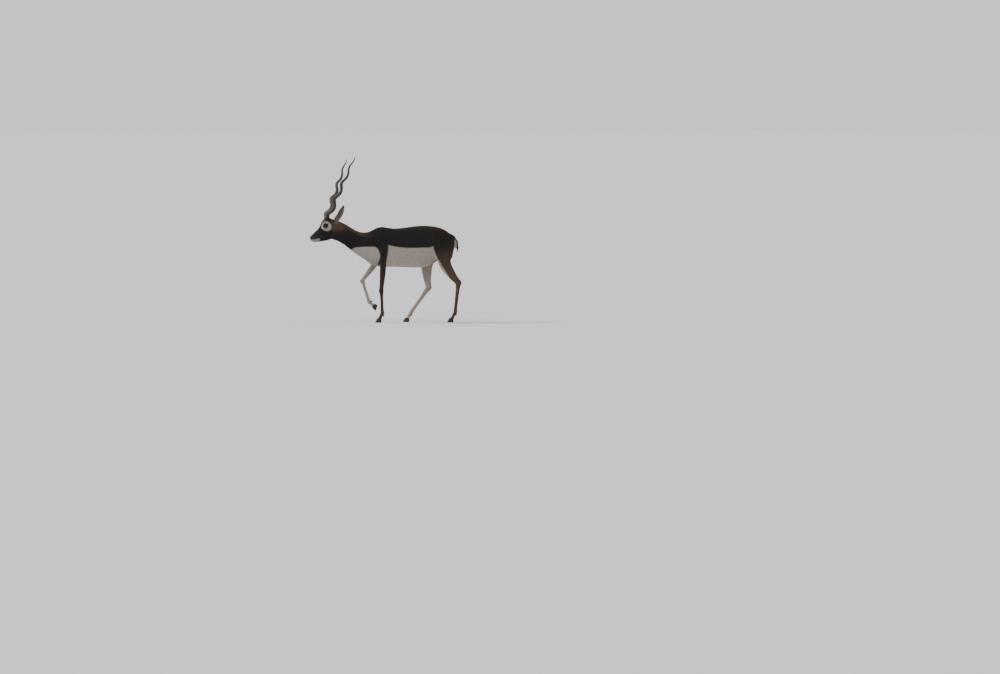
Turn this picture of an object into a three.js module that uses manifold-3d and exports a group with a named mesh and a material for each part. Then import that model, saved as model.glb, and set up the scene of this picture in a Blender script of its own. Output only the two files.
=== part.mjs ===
// A life-size walking blackbuck, an adult male, as a museum would show it.
// Millimetres, +Z up. It faces -X, its left side is at -Y, and three of its four feet stand on the floor.
// The body is lofted from rings that are named by their place on the animal, then parted with thin cuts.
import * as THREE from "three";
import { mergeVertices } from "three/addons/utils/BufferGeometryUtils.js";
import Module from "manifold-3d";

const wasm = await Module();
wasm.setup();

// Driving dimensions. Heights are above the floor, and x is measured back from the withers.
const WITHERS_HEIGHT = 804;
const EYE_RADIUS = 17.5;
const HORN_TURNS = 3.9;
const GAP = 0.3; // left free where two pieces meet
const LEFT = -1;
const RIGHT = 1;

// Points round one ring of each kind of loft.
const BODY_SIDES = 24;
const HEAD_SIDES = 20;
const LEG_SIDES = 10;
const HORN_SIDES = 8;
const EAR_SIDES = 6;
const TAIL_SIDES = 10;
const HOOF_SIDES = 10;
const DEWCLAW_SIDES = 6;
const EYE_SIDES = [12, 8];
const MUSCLE_SIDES = [10, 7];

const MATERIALS = {
  coat_dark: new THREE.MeshStandardMaterial({ color: 0x2b2420, roughness: 0.75, metalness: 0 }),
  coat_brown: new THREE.MeshStandardMaterial({ color: 0x5d4636, roughness: 0.8, metalness: 0 }),
  horn: new THREE.MeshStandardMaterial({ color: 0x3a322c, roughness: 0.5, metalness: 0 }),
  hoof: new THREE.MeshStandardMaterial({ color: 0x1c1815, roughness: 0.45, metalness: 0 }),
  eye: new THREE.MeshStandardMaterial({ color: 0x0d0a08, roughness: 0.08, metalness: 0 }),
};

// Sections down the middle of the animal: the point on its upper outline, the point on its lower outline, the
// half width, and how far up the section its widest line lies. Points are [x, z].
const BODY = {
  inside_head: { top: [-425, 846], bottom: [-462, 742], half: 40, widest: 0.5 },
  poll: { top: [-392, 857], bottom: [-436, 702], half: 46, widest: 0.52 },
  nape: { top: [-322, 831], bottom: [-384, 683], half: 49, widest: 0.52 },
  mid_neck: { top: [-246, 786], bottom: [-322, 646], half: 51, widest: 0.5 },
  lower_neck: { top: [-186, 760], bottom: [-258, 596], half: 57, widest: 0.48 },
  neck_base: { top: [-128, 760], bottom: [-204, 558], half: 67, widest: 0.46 },
  breast: { top: [-84, 780], bottom: [-152, 524], half: 78, widest: 0.45 },
  before_withers: { top: [-46, 797], bottom: [-102, 487], half: 88, widest: 0.44 },
  withers: { top: [0, WITHERS_HEIGHT], bottom: [-36, 469], half: 95, widest: 0.43 },
  chest: { top: [95, 790], bottom: [80, 465], half: 102, widest: 0.44 },
  barrel: { top: [205, 800], bottom: [200, 462], half: 110, widest: 0.46 },
  loin: { top: [315, 813], bottom: [305, 458], half: 108, widest: 0.5 },
  flank: { top: [405, 810], bottom: [392, 472], half: 99, widest: 0.56 },
  hip: { top: [478, 797], bottom: [470, 515], half: 94, widest: 0.6 },
  croup: { top: [538, 770], bottom: [538, 552], half: 84, widest: 0.6 },
  buttock: { top: [584, 728], bottom: [588, 590], half: 62, widest: 0.6 },
  pin_bone: { top: [608, 690], bottom: [610, 625], half: 30, widest: 0.5 },
};
const HEAD = {
  nose_tip: { top: [-618, 715], bottom: [-611, 696], half: 12.5, widest: 0.5 },
  nostrils: { top: [-608, 728], bottom: [-600, 682], half: 22, widest: 0.62 },
  lips: { top: [-592, 743], bottom: [-585, 675], half: 25, widest: 0.5 },
  muzzle: { top: [-571, 764], bottom: [-556, 675], half: 27, widest: 0.46 },
  bridge: { top: [-550, 786], bottom: [-527, 679], half: 33, widest: 0.45 },
  cheek: { top: [-534, 811], bottom: [-497, 684], half: 43, widest: 0.52 },
  eyes: { top: [-519, 842], bottom: [-465, 689], half: 53, widest: 0.66 },
  brow: { top: [-497, 868], bottom: [-438, 700], half: 54, widest: 0.68 },
  forehead: { top: [-466, 879], bottom: [-418, 710], half: 49, widest: 0.62 },
  crown: { top: [-433, 873], bottom: [-406, 722], half: 46, widest: 0.58 },
  back_of_skull: { top: [-400, 858], bottom: [-396, 738], half: 42, widest: 0.56 },
};

// Rings of a leg: which bone, how far along it, then the reach ahead of and behind the bone's line and the
// half width.
const FORELEG_RINGS = [
  { bone: 0, along: 0, ahead: 52, behind: 46, half: 27 },
  { bone: 0, along: 0.55, ahead: 46, behind: 44, half: 31 },
  { bone: 1, along: 0, ahead: 35, behind: 33, half: 29 },
  { bone: 1, along: 0.18, ahead: 28, behind: 27, half: 26 },
  { bone: 1, along: 0.42, ahead: 24, behind: 26, half: 22.5 },
  { bone: 1, along: 0.7, ahead: 21, behind: 21, half: 18 },
  { bone: 1, along: 0.88, ahead: 19.5, behind: 18, half: 17 },
  { bone: 2, along: 0, ahead: 20.5, behind: 19, half: 19 },
  { bone: 2, along: 0.11, ahead: 17, behind: 17, half: 16 },
  { bone: 2, along: 0.26, ahead: 13, behind: 14, half: 12.5 },
  { bone: 2, along: 0.6, ahead: 12, behind: 13.5, half: 11.5 },
  { bone: 2, along: 0.86, ahead: 13, behind: 15.5, half: 13.5 },
  { bone: 3, along: 0, ahead: 14.5, behind: 18, half: 15.5 },
  { bone: 3, along: 0.45, ahead: 13, behind: 15, half: 14.5 },
  { bone: 3, along: 1.15, ahead: 17, behind: 18, half: 18 },
];
const HINDLEG_RINGS = [
  { bone: 0, along: 0, ahead: 70, behind: 88, half: 30 },
  { bone: 0, along: 0.5, ahead: 56, behind: 84, half: 36 },
  { bone: 0, along: 0.85, ahead: 58, behind: 72, half: 36 },
  { bone: 1, along: 0.08, ahead: 58, behind: 57, half: 33 },
  { bone: 1, along: 0.3, ahead: 57, behind: 39, half: 28 },
  { bone: 1, along: 0.55, ahead: 48, behind: 31, half: 22 },
  { bone: 1, along: 0.76, ahead: 37, behind: 27, half: 18.5 },
  { bone: 1, along: 0.92, ahead: 28, behind: 30, half: 17 },
  { bone: 2, along: 0.02, ahead: 23, behind: 31, half: 18 },
  { bone: 2, along: 0.13, ahead: 19, behind: 25, half: 16.5 },
  { bone: 2, along: 0.26, ahead: 15.5, behind: 21, half: 14 },
  { bone: 2, along: 0.58, ahead: 13.5, behind: 18, half: 12.5 },
  { bone: 2, along: 0.87, ahead: 14, behind: 17, half: 14 },
  { bone: 3, along: 0, ahead: 15, behind: 19, half: 16 },
  { bone: 3, along: 0.45, ahead: 13.5, behind: 16, half: 15 },
  { bone: 3, along: 1.15, ahead: 17, behind: 18.5, half: 18.5 },
];

// The stride: each leg's joints from the top down as [x, z, distance from the middle]. The last joint is the
// middle of the hoof's upper edge.
const HOOF = { length: 56, height: 30, width: 17, cleft: 0.9, ahead: 41, slope: 21, heelSlope: 4 };
const HOOF_TILT = THREE.MathUtils.degToRad(25); // of the hoof's upper edge
const SOLE_TO_JOINT = HOOF.height + GAP;
const LEGS = {
  leg_fore_left: {
    side: LEFT,
    joints: [[-36, 600, 64], [-5, 510, 72], [-22, 266, 67], [-15, 80, 65], [-37, SOLE_TO_JOINT, 65]],
    rings: FORELEG_RINGS,
  },
  leg_fore_right: {
    side: RIGHT,
    joints: [[-58, 612, 64], [-30, 524, 72], [-164, 350, 66], [-110, 172, 64], [-70, 140, 64]],
    rings: FORELEG_RINGS,
    lifted: true,
  },
  leg_hind_left: {
    side: LEFT,
    joints: [[488, 655, 62], [506, 516, 82], [627, 330, 72], [601, 84, 73], [573, SOLE_TO_JOINT, 74]],
    rings: HINDLEG_RINGS,
  },
  leg_hind_right: {
    side: RIGHT,
    joints: [[470, 650, 62], [392, 524, 82], [396, 290, 72], [248, 80, 73], [220, SOLE_TO_JOINT, 74]],
    rings: HINDLEG_RINGS,
  },
};
// Muscles at the top of the legs that belong to the trunk.
const UPPER_ARM = { centre: [-30, 588, 62], reach: [62, 84, 43], lean: 20 };
const THIGH = { centre: [500, 640, 60], reach: [92, 118, 41], lean: -8 };
const HAM = { centre: [548, 610, 54], reach: [54, 104, 42], lean: 4 };
const MUSCLES = [UPPER_ARM, THIGH, HAM];
const FORELEG_CUT = { from: [-140, 572], to: [110, 556] };
const HINDLEG_CUT = { from: [330, 592], to: [640, 552] };
const JOINT_BEND_SHARE = 0.28; // how far into each bone the bend at a joint is spread

// Horns: an open spiral on a straight axis from the brow to the tip. The right one ends a little lower.
const HORNS = {
  left: { side: LEFT, base: new THREE.Vector3(-476, -29, 868), tip: new THREE.Vector3(-268, -228, 1392) },
  right: { side: RIGHT, base: new THREE.Vector3(-476, 29, 868), tip: new THREE.Vector3(-276, 228, 1366) },
};
const HORN_RINGS_PER_TURN = 7;
const HORN_FIRST_BACKWARD_BULGE = 0.2; // share of the horn's length

// The left ear is pricked, the right one held out to the side.
const EARS = {
  left: {
    root: new THREE.Vector3(-395, -38, 838),
    tip: new THREE.Vector3(-340, -88, 987),
    opens: new THREE.Vector3(-0.55, -0.8, 0.1),
  },
  right: {
    root: new THREE.Vector3(-402, 38, 838),
    tip: new THREE.Vector3(-362, 168, 905),
    opens: new THREE.Vector3(-0.8, 0.1, 0.2),
  },
};
const EAR_THICKNESS = 3.4;

const EYE_CENTRE = [-487, 43, 811];

const TAIL = {
  joints: [[566, 738], [600, 722], [626, 682], [634, 634], [631, 590]],
  across: [17, 16, 15, 15, 6],
  deep: [13, 13, 11, 10, 5],
};

const HEAD_CUT = { from: [-447, 704], to: [-388, 880] };
const NECK_CUT = { from: [-158, 516], to: [-84, 812] };

const midline = ([x, z]) => new THREE.Vector3(x, 0, z);

// Values between the rows of a table of numbers, along smooth curves through the rows.
function smoothRows(rows, steps) {
  const columns = rows[0].map((_, column) => {
    const points = rows.map((row, place) => new THREE.Vector2(place, row[column]));
    return new THREE.SplineCurve(points);
  });
  const count = (rows.length - 1) * steps;
  return Array.from({ length: count + 1 }, (_, i) => columns.map((curve) => curve.getPoint(i / count).y));
}

// One closed ring of points: "ahead" and "behind" are its reach along the first direction and against it.
function ring(centre, direction, across, { ahead, behind, half, fullness = 2 }, sides) {
  const curve = (value) => Math.sign(value) * Math.abs(value) ** (2 / fullness);
  return Array.from({ length: sides }, (_, i) => {
    const angle = (i / sides) * 2 * Math.PI;
    const reach = curve(Math.cos(angle)) * (Math.cos(angle) > 0 ? ahead : behind);
    return centre
      .clone()
      .addScaledVector(direction, reach)
      .addScaledVector(across, curve(Math.sin(angle)) * half);
  });
}

const round = (radius) => ({ ahead: radius, behind: radius, half: radius });

// A closed skin over rings that have the same even number of points, as a solid. Each end is closed by a strip
// that runs between the ring's first half and its second, so a folded ring closes as well as a round one.
function loft(rings) {
  const sides = rings[0].length;
  const triangles = [];
  for (let row = 0; row + 1 < rings.length; row++) {
    for (let i = 0; i < sides; i++) {
      const [a, b] = [row * sides + i, row * sides + ((i + 1) % sides)];
      triangles.push(a, b, a + sides, b, b + sides, a + sides);
    }
  }
  const lastRow = (rings.length - 1) * sides;
  for (let i = 0; i + 1 < sides / 2; i++) {
    const [a, b, c, d] = [i, i + 1, sides - 2 - i, sides - 1 - i];
    triangles.push(c, b, a, d, c, a);
    triangles.push(lastRow + a, lastRow + b, lastRow + c, lastRow + a, lastRow + c, lastRow + d);
  }
  return facingOut(new THREE.BufferGeometry().setFromPoints(rings.flat()).setIndex(triangles));
}

// A manifold solid of a closed geometry, whichever way round its faces were listed.
function facingOut(geometry) {
  const plain = geometry.clone();
  plain.deleteAttribute("normal");
  plain.deleteAttribute("uv");
  const merged = mergeVertices(plain, 1e-3);
  const triVerts = new Uint32Array(merged.index.array);
  const vertProperties = merged.attributes.position.array;
  const build = () => new wasm.Manifold(new wasm.Mesh({ numProp: 3, vertProperties, triVerts }));
  const solid = build();
  if (solid.volume() > 0) return solid;
  for (let i = 0; i < triVerts.length; i += 3) {
    [triVerts[i], triVerts[i + 1]] = [triVerts[i + 1], triVerts[i]];
  }
  return build();
}

function meshOf(name, solid, material) {
  const { numProp, vertProperties, triVerts } = solid.getMesh();
  const positions = new Float32Array((vertProperties.length / numProp) * 3);
  for (let i = 0; i * numProp < vertProperties.length; i++) {
    positions.set(vertProperties.subarray(i * numProp, i * numProp + 3), i * 3);
  }
  const geometry = new THREE.BufferGeometry()
    .setAttribute("position", new THREE.BufferAttribute(positions, 3))
    .setIndex(new THREE.BufferAttribute(triVerts, 1));
  geometry.computeVertexNormals();
  const mesh = new THREE.Mesh(geometry, material);
  mesh.name = name;
  return mesh;
}

// The two sides of a cut that runs straight across the animal, through two [x, z] points. Seen from its left
// side, walking from the first point to the second, they lie on the left hand and on the right hand.
function parted(solid, { from, to }, gap = GAP) {
  const along = midline(to).sub(midline(from)).normalize();
  const normal = new THREE.Vector3(0, 1, 0).cross(along);
  const offset = normal.dot(midline(from));
  const onRight = solid.trimByPlane(normal.toArray(), offset + gap / 2);
  const onLeft = solid.trimByPlane(normal.clone().negate().toArray(), gap / 2 - offset);
  return { onLeft, onRight };
}

// A solid without the slivers that a cut leaves beside it.
function mainBody(solid) {
  return solid.decompose().reduce((largest, body) => (body.volume() > largest.volume() ? body : largest));
}

// A loft through sections in the middle plane, symmetrical left and right.
function spineLoft(sections, steps, sides, fullness) {
  const rows = Object.values(sections).map((s) => [...s.top, ...s.bottom, s.half, s.widest]);
  const rings = smoothRows(rows, steps).map(([topX, topZ, bottomX, bottomZ, half, widest]) => {
    const [top, bottom] = [midline([topX, topZ]), midline([bottomX, bottomZ])];
    const height = top.distanceTo(bottom);
    const centre = bottom.clone().lerp(top, widest);
    const up = top.clone().sub(bottom).normalize();
    const reach = { ahead: height * (1 - widest), behind: height * widest, half, fullness };
    return ring(centre, up, new THREE.Vector3(0, 1, 0), reach, sides);
  });
  return loft(rings);
}

function ellipsoid({ centre: [x, z, out], reach: [long, high, wide], lean }, side) {
  const geometry = new THREE.SphereGeometry(1, ...MUSCLE_SIDES);
  geometry.scale(long, wide, high);
  geometry.rotateY(THREE.MathUtils.degToRad(lean));
  return facingOut(geometry.translate(x, side * out, z));
}

// A leg from the shoulder or hip to the hoof's upper edge, where it ends on that edge's plane. Grown by the gap,
// it is what the trunk makes room for.
function leg(shape, grow = 0) {
  const { side, joints, rings } = shape;
  const chain = joints.map(([x, z, out]) => new THREE.Vector3(x, side * out, z));
  const directions = chain.slice(1).map((joint, i) => joint.clone().sub(chain[i]).normalize());
  const rows = rings.map(({ bone, along, ahead, behind, half }) => {
    const centre = chain[bone].clone().lerp(chain[bone + 1], along);
    const share = (distance) => Math.max(0, 0.5 - distance / JOINT_BEND_SHARE / 2);
    const down = directions[bone].clone();
    if (bone > 0) down.lerp(directions[bone - 1], share(along));
    if (bone + 1 < directions.length) down.lerp(directions[bone + 1], share(1 - along));
    return [...centre.toArray(), ...down.normalize().toArray(), ahead, behind, half];
  });
  const across = new THREE.Vector3(0, 1, 0);
  const shaped = smoothRows(rows, 2).map(([x, y, z, dx, dy, dz, ahead, behind, half]) => {
    const down = new THREE.Vector3(dx, dy, dz).normalize();
    const forward = across.clone().cross(down).normalize();
    const reach = { ahead: ahead + grow, behind: behind + grow, half: half + grow, fullness: 2.1 };
    return ring(new THREE.Vector3(x, y, z), forward, forward.clone().cross(down), reach, LEG_SIDES);
  });
  const place = footPlace(shape);
  const edge = new THREE.Vector3(Math.tan(HOOF_TILT), 0, 1).transformDirection(place);
  const onEdge = new THREE.Vector3(0, 0, GAP).applyMatrix4(place);
  return loft(shaped).trimByPlane(edge.toArray(), edge.dot(onEdge));
}

// One claw of a cloven hoof. Its frame's origin is the middle of the hoof's upper edge, and its toe points
// towards -x.
function claw(side) {
  const rings = [0, 0.3, 1].map((height) => {
    const front = -HOOF.ahead + height * HOOF.slope;
    const back = HOOF.length - HOOF.ahead + height * HOOF.heelSlope;
    return Array.from({ length: HOOF_SIDES }, (_, i) => {
      const angle = (i / HOOF_SIDES) * 2 * Math.PI;
      const fromToe = (1 + Math.cos(angle)) / 2;
      const x = front + (back - front) * fromToe;
      const bulge = Math.max(0, Math.sin(angle)) ** 0.8 * (0.72 + 0.28 * fromToe);
      const y = HOOF.cleft + HOOF.width * (1 - 0.1 * height) * bulge;
      return new THREE.Vector3(x, side * y, height * (HOOF.height - Math.tan(HOOF_TILT) * x) - HOOF.height);
    });
  });
  return loft(rings);
}

// The matrix that puts a foot's hooves under the last joint of its leg. A foot on the floor stands flat.
function footPlace({ side, joints, lifted }) {
  const [[fetlockX, fetlockZ], [x, z, out]] = joints.slice(-2);
  const pastern = Math.atan2(x - fetlockX, fetlockZ - z);
  const turn = lifted ? -pastern - HOOF_TILT : 0;
  const place = new THREE.Matrix4().makeTranslation(x, side * out, z);
  place.multiply(new THREE.Matrix4().makeRotationY(turn));
  return place.multiply(new THREE.Matrix4().makeTranslation(0, 0, -GAP));
}

// A dewclaw behind the fetlock: a short blunt cone, on the outer or the inner side.
function dewclaw({ side, joints }, place) {
  const [[x, z, out], [toX, toZ]] = joints.slice(-2);
  const down = new THREE.Vector3(toX - x, 0, toZ - z).normalize();
  const behind = down.clone().cross(new THREE.Vector3(0, 1, 0));
  const root = new THREE.Vector3(x, side * out + place * 8.5, z);
  root.addScaledVector(behind, 11).addScaledVector(down, 9);
  const point = root.clone().addScaledVector(behind, 12).addScaledVector(down, 11);
  const forward = point.clone().sub(root).normalize();
  const across = new THREE.Vector3(0, 1, 0);
  const up = forward.clone().cross(across);
  const rings = [[0, 6.5], [0.7, 5.4], [1, 2.4]].map(([t, radius]) =>
    ring(root.clone().lerp(point, t), up, across, round(radius), DEWCLAW_SIDES),
  );
  return loft(rings);
}

function horn({ side, base, tip }, grow = 0) {
  const axis = tip.clone().sub(base);
  const along = axis.clone().normalize();
  const back = new THREE.Vector3(1, 0, 0);
  back.addScaledVector(along, -back.dot(along)).normalize();
  const out = along.clone().cross(back).multiplyScalar(-side);
  const count = Math.round(HORN_TURNS * HORN_RINGS_PER_TURN);
  const centres = Array.from({ length: count + 1 }, (_, i) => {
    const t = i / count;
    const angle = (t - HORN_FIRST_BACKWARD_BULGE) * HORN_TURNS * 2 * Math.PI;
    const swing = 14 * (1 - t) ** 0.45 * Math.min(1, 0.25 + t * 9) + 1.5;
    return base
      .clone()
      .addScaledVector(axis, t)
      .addScaledVector(back, swing * Math.cos(angle))
      .addScaledVector(out, swing * Math.sin(angle));
  });
  const rings = centres.map((centre, i) => {
    const t = i / count;
    const radius = 2.2 + 17.3 * (1 - t) ** 0.62 + grow;
    const [before, after] = [centres[Math.max(0, i - 1)], centres[Math.min(count, i + 1)]];
    const down = after.clone().sub(before).normalize();
    const ahead = back.clone().addScaledVector(down, -back.dot(down)).normalize();
    const start = i === 0 ? centre.clone().addScaledVector(down, -grow) : centre;
    return ring(start, ahead, ahead.clone().cross(down), round(radius), HORN_SIDES);
  });
  return loft(rings);
}

// An ear: a rolled leaf whose edges are close at the root and open out towards the tip.
const EAR_ROWS = [
  { t: 0, arc: 19, open: 150 },
  { t: 0.12, arc: 27, open: 128 },
  { t: 0.28, arc: 34, open: 100 },
  { t: 0.46, arc: 36, open: 82 },
  { t: 0.64, arc: 31, open: 70 },
  { t: 0.8, arc: 21, open: 60 },
  { t: 0.92, arc: 11, open: 50 },
  { t: 1, arc: 2.5, open: 40 },
];
function ear({ root, tip, opens: towards }, grow = 0) {
  const along = tip.clone().sub(root).normalize();
  const opens = towards.clone();
  opens.addScaledVector(along, -opens.dot(along)).normalize();
  const across = along.clone().cross(opens);
  const rings = EAR_ROWS.map(({ t, arc, open }) => {
    const half = THREE.MathUtils.degToRad(open);
    const radius = arc / half;
    const thickness = EAR_THICKNESS * (1 - 0.45 * t);
    const at = (share, depth) => {
      const angle = half * share;
      const reach = radius - depth;
      return root
        .clone()
        .lerp(tip, t)
        .addScaledVector(along, t === 0 ? -grow : 0)
        .addScaledVector(opens, radius * 0.5 - reach * Math.cos(angle))
        .addScaledVector(across, reach * Math.sin(angle));
    };
    const shares = Array.from({ length: EAR_SIDES + 1 }, (_, i) => (i / EAR_SIDES) * 2 - 1);
    const outer = shares.map((share) => at(share, -grow));
    const inner = shares.map((share) => at(share * 0.97, Math.min(thickness, radius * 0.8) + grow)).reverse();
    return [...outer, ...inner];
  });
  return loft(rings);
}

function eyeball(side, grow = 0) {
  const [x, out, z] = EYE_CENTRE;
  const geometry = new THREE.SphereGeometry(EYE_RADIUS + grow, ...EYE_SIDES);
  return facingOut(geometry.translate(x, side * out, z));
}

function tail(grow = 0) {
  const centres = TAIL.joints.map(midline);
  const across = new THREE.Vector3(0, 1, 0);
  const rings = centres.map((centre, i) => {
    const [before, after] = [centres[Math.max(0, i - 1)], centres[Math.min(centres.length - 1, i + 1)]];
    const down = after.clone().sub(before).normalize();
    const deep = TAIL.deep[i] + grow;
    const start = i === 0 ? centre.clone().addScaledVector(down, -grow) : centre;
    const reach = { ahead: deep, behind: deep, half: TAIL.across[i] + grow };
    return ring(start, across.clone().cross(down), across, reach, TAIL_SIDES);
  });
  return loft(rings);
}

function feet(name, shape, add) {
  const place = footPlace(shape).toArray();
  for (const [which, towards] of [["outer", shape.side], ["inner", -shape.side]]) {
    add(name.replace("leg", "hoof") + "_" + which, claw(towards).transform(place), "hoof");
    const free = dewclaw(shape, towards).subtract(leg(shape, GAP));
    add(name.replace("leg", "dewclaw") + "_" + which, free, "hoof");
  }
}

function blackbuck() {
  const pieces = [];
  const add = (name, solid, material) => pieces.push(meshOf(name, solid, MATERIALS[material]));

  const body = parted(spineLoft(BODY, 2, BODY_SIDES, 2.12), NECK_CUT);
  let { onLeft: head, onRight: neck } = parted(body.onLeft.add(spineLoft(HEAD, 2, HEAD_SIDES, 2.2)), HEAD_CUT);
  let trunk = body.onRight;
  for (const side of [LEFT, RIGHT]) {
    for (const muscle of MUSCLES) trunk = trunk.add(ellipsoid(muscle, side));
  }
  trunk = trunk.subtract(tail(GAP));
  add("tail", tail(), "coat_dark");

  for (const [name, shape] of Object.entries(LEGS)) {
    const cut = shape.rings === FORELEG_RINGS ? FORELEG_CUT : HINDLEG_CUT;
    trunk = trunk.subtract(parted(leg(shape, GAP), cut, -GAP).onRight);
    add(name, parted(leg(shape), cut).onRight, "coat_dark");
    feet(name, shape, add);
  }
  for (const [word, side] of [["left", LEFT], ["right", RIGHT]]) {
    head = head.subtract(horn(HORNS[word], GAP)).subtract(ear(EARS[word], GAP)).subtract(eyeball(side, GAP));
    neck = neck.subtract(ear(EARS[word], GAP));
    add("horn_" + word, horn(HORNS[word]), "horn");
    add("ear_" + word, ear(EARS[word]), "coat_brown");
    add("eye_" + word, eyeball(side), "eye");
  }
  add("trunk", mainBody(trunk), "coat_dark");
  add("neck", mainBody(neck), "coat_dark");
  add("head", mainBody(head), "coat_brown");
  return pieces;
}

// The part's origin is on the floor, under the middle of its box.
const group = new THREE.Group();
group.add(...blackbuck());
const box = new THREE.Box3().setFromObject(group);
const middle = box.getCenter(new THREE.Vector3());
group.position.set(-middle.x, -middle.y, -box.min.z);

export default group;
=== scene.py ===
import math

import bmesh
import bpy
import numpy as np
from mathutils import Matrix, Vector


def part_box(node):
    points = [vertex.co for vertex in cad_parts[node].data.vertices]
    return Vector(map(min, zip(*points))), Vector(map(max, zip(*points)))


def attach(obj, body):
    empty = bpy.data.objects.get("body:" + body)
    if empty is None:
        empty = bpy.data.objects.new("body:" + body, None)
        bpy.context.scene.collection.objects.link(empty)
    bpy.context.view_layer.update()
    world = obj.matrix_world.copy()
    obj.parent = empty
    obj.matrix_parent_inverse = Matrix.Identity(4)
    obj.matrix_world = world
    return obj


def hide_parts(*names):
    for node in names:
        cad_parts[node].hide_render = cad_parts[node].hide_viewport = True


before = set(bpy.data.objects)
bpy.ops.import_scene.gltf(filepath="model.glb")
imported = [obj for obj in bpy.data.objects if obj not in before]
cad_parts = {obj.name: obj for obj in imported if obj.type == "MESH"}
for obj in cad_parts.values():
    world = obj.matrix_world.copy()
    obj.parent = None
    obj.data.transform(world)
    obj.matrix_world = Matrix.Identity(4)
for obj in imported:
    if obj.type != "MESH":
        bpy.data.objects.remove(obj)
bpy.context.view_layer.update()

import openvdb
from mathutils import Vector

# A male blackbuck in mid stride. It faces -X and its left side is at -Y. Shapes are worked out in millimetres
# in the row frame, and meshes are made in metres.
MM = 0.001
SIDES = {"left": -1, "right": 1}
LEG_NAMES = ("leg_fore_left", "leg_fore_right", "leg_hind_left", "leg_hind_right")
random = np.random.default_rng(11)

# Steps of the lattices that the skin is worked out on.
BODY_STEP = 2.5
HEAD_STEP = 1.0
BODY_BAND = 24.0
HEAD_BAND = 12.0
BODY_GROW = 0.6  # closes the gaps between the nodes
HEAD_GROW = 0.5
SKIN_TRIANGLES = 186000
TUFTS_SHARE = 1.0
NECK_JOIN_X = -350.0  # where the finely worked head joins the rest of the skin
CREASE_FILL = 10.0

# The lie of the coat follows lines through the body: the points of each line, the girth of the body round each
# stretch of it, and the length of the hair there.
LINES = {
    "head": {
        "points": [(-642, 0, 698), (-585, 0, 735), (-520, 0, 790), (-420, 0, 806)],
        "girth": [22, 34, 48],
        "hair": [3.2, 5.0, 7.5],
    },
    "neck": {
        "points": [(-425, 0, 790), (-330, 0, 742), (-215, 0, 680), (-130, 0, 664)],
        "girth": [60, 72, 90],
        "hair": [13, 16, 16],
    },
    "trunk": {
        "points": [(-130, 0, 668), (80, 0, 660), (350, 0, 652), (500, 0, 646)],
        "girth": [130, 150, 120],
        "hair": [15, 15, 15],
    },
    "tail": {
        "points": [(552, 0, 736), (582, 0, 722), (608, 0, 682), (616, 0, 634), (613, 0, 592)],
        "girth": [10, 16, 16, 14],
        "hair": [14, 16, 18, 20],
    },
    "leg_fore_left": {
        "points": [(-54, -64, 600), (-23, -72, 510), (-40, -67, 266), (-33, -65, 80), (-55, -65, 25)],
        "girth": [36, 28, 16, 16],
        "hair": [12, 9, 6, 5],
    },
    "leg_fore_right": {
        "points": [(-76, 64, 612), (-48, 72, 524), (-182, 66, 350), (-128, 64, 172), (-88, 64, 140)],
        "girth": [36, 28, 16, 16],
        "hair": [12, 9, 6, 5],
    },
    "leg_hind_left": {
        "points": [(470, -62, 655), (488, -82, 516), (609, -72, 330), (583, -73, 84), (555, -74, 25)],
        "girth": [60, 42, 19, 18],
        "hair": [14, 10, 6, 5],
    },
    "leg_hind_right": {
        "points": [(452, 62, 650), (374, 82, 524), (378, 72, 290), (230, 73, 80), (202, 74, 25)],
        "girth": [60, 42, 19, 18],
        "hair": [14, 10, 6, 5],
    },
    "ear_left": {"points": [(-413, -38, 838), (-358, -88, 987)], "girth": [16], "hair": [5]},
    "ear_right": {"points": [(-420, 38, 838), (-380, 168, 905)], "girth": [16], "hair": [5]},
}
# Short stretches that turn the coat's lie where the body's line alone doesn't: its part, start, end and girth.
TURNS = [
    ("head", (-612, 0, 686), (-450, 0, 726), 20),
    ("trunk", (-205, 0, 636), (-128, 0, 520), 55),
    ("trunk", (-70, 0, 500), (470, 0, 492), 60),
    ("trunk", (560, 0, 720), (566, 0, 610), 62),
    ("trunk", (-70, -82, 735), (-34, -84, 590), 52),
    ("trunk", (-70, 82, 735), (-34, 84, 590), 52),
    ("trunk", (478, -74, 740), (524, -84, 590), 58),
    ("trunk", (478, 74, 740), (510, 84, 590), 58),
]

# Relief under the coat: centre, reach along the animal, across it and up, lean in degrees, and height. Each is
# there on both sides.
BODY_RELIEF = [
    ((-62, 86, 700), (16, 30, 74), 16, 3.2),
    ((-112, 78, 700), (26, 34, 70), 20, -4.0),
    ((2, 98, 690), (22, 30, 70), -6, -3.0),
    ((8, 96, 610), (38, 34, 44), 20, 4.5),
    ((-100, 74, 590), (26, 30, 34), 0, 4.0),
    ((-210, 50, 640), (110, 22, 13), 24, -3.4),
    ((-240, 44, 725), (120, 24, 16), 26, 2.2),
    ((392, 98, 716), (40, 34, 38), 0, -5.5),
    ((436, 84, 776), (24, 24, 15), 0, 5.0),
    ((420, 92, 588), (50, 26, 26), -30, 3.4),
    ((536, 86, 640), (9, 26, 84), 6, -3.4),
    ((566, 66, 690), (22, 24, 18), 0, 4.0),
    ((500, 92, 700), (50, 24, 34), -12, 2.0),
    ((250, 108, 560), (150, 30, 40), 0, 2.2),
]
THIGH_TOP = [(455, 590), (520, 590)]
RIB_SPACING = 34
RIB_HEIGHT = 0.22
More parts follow.
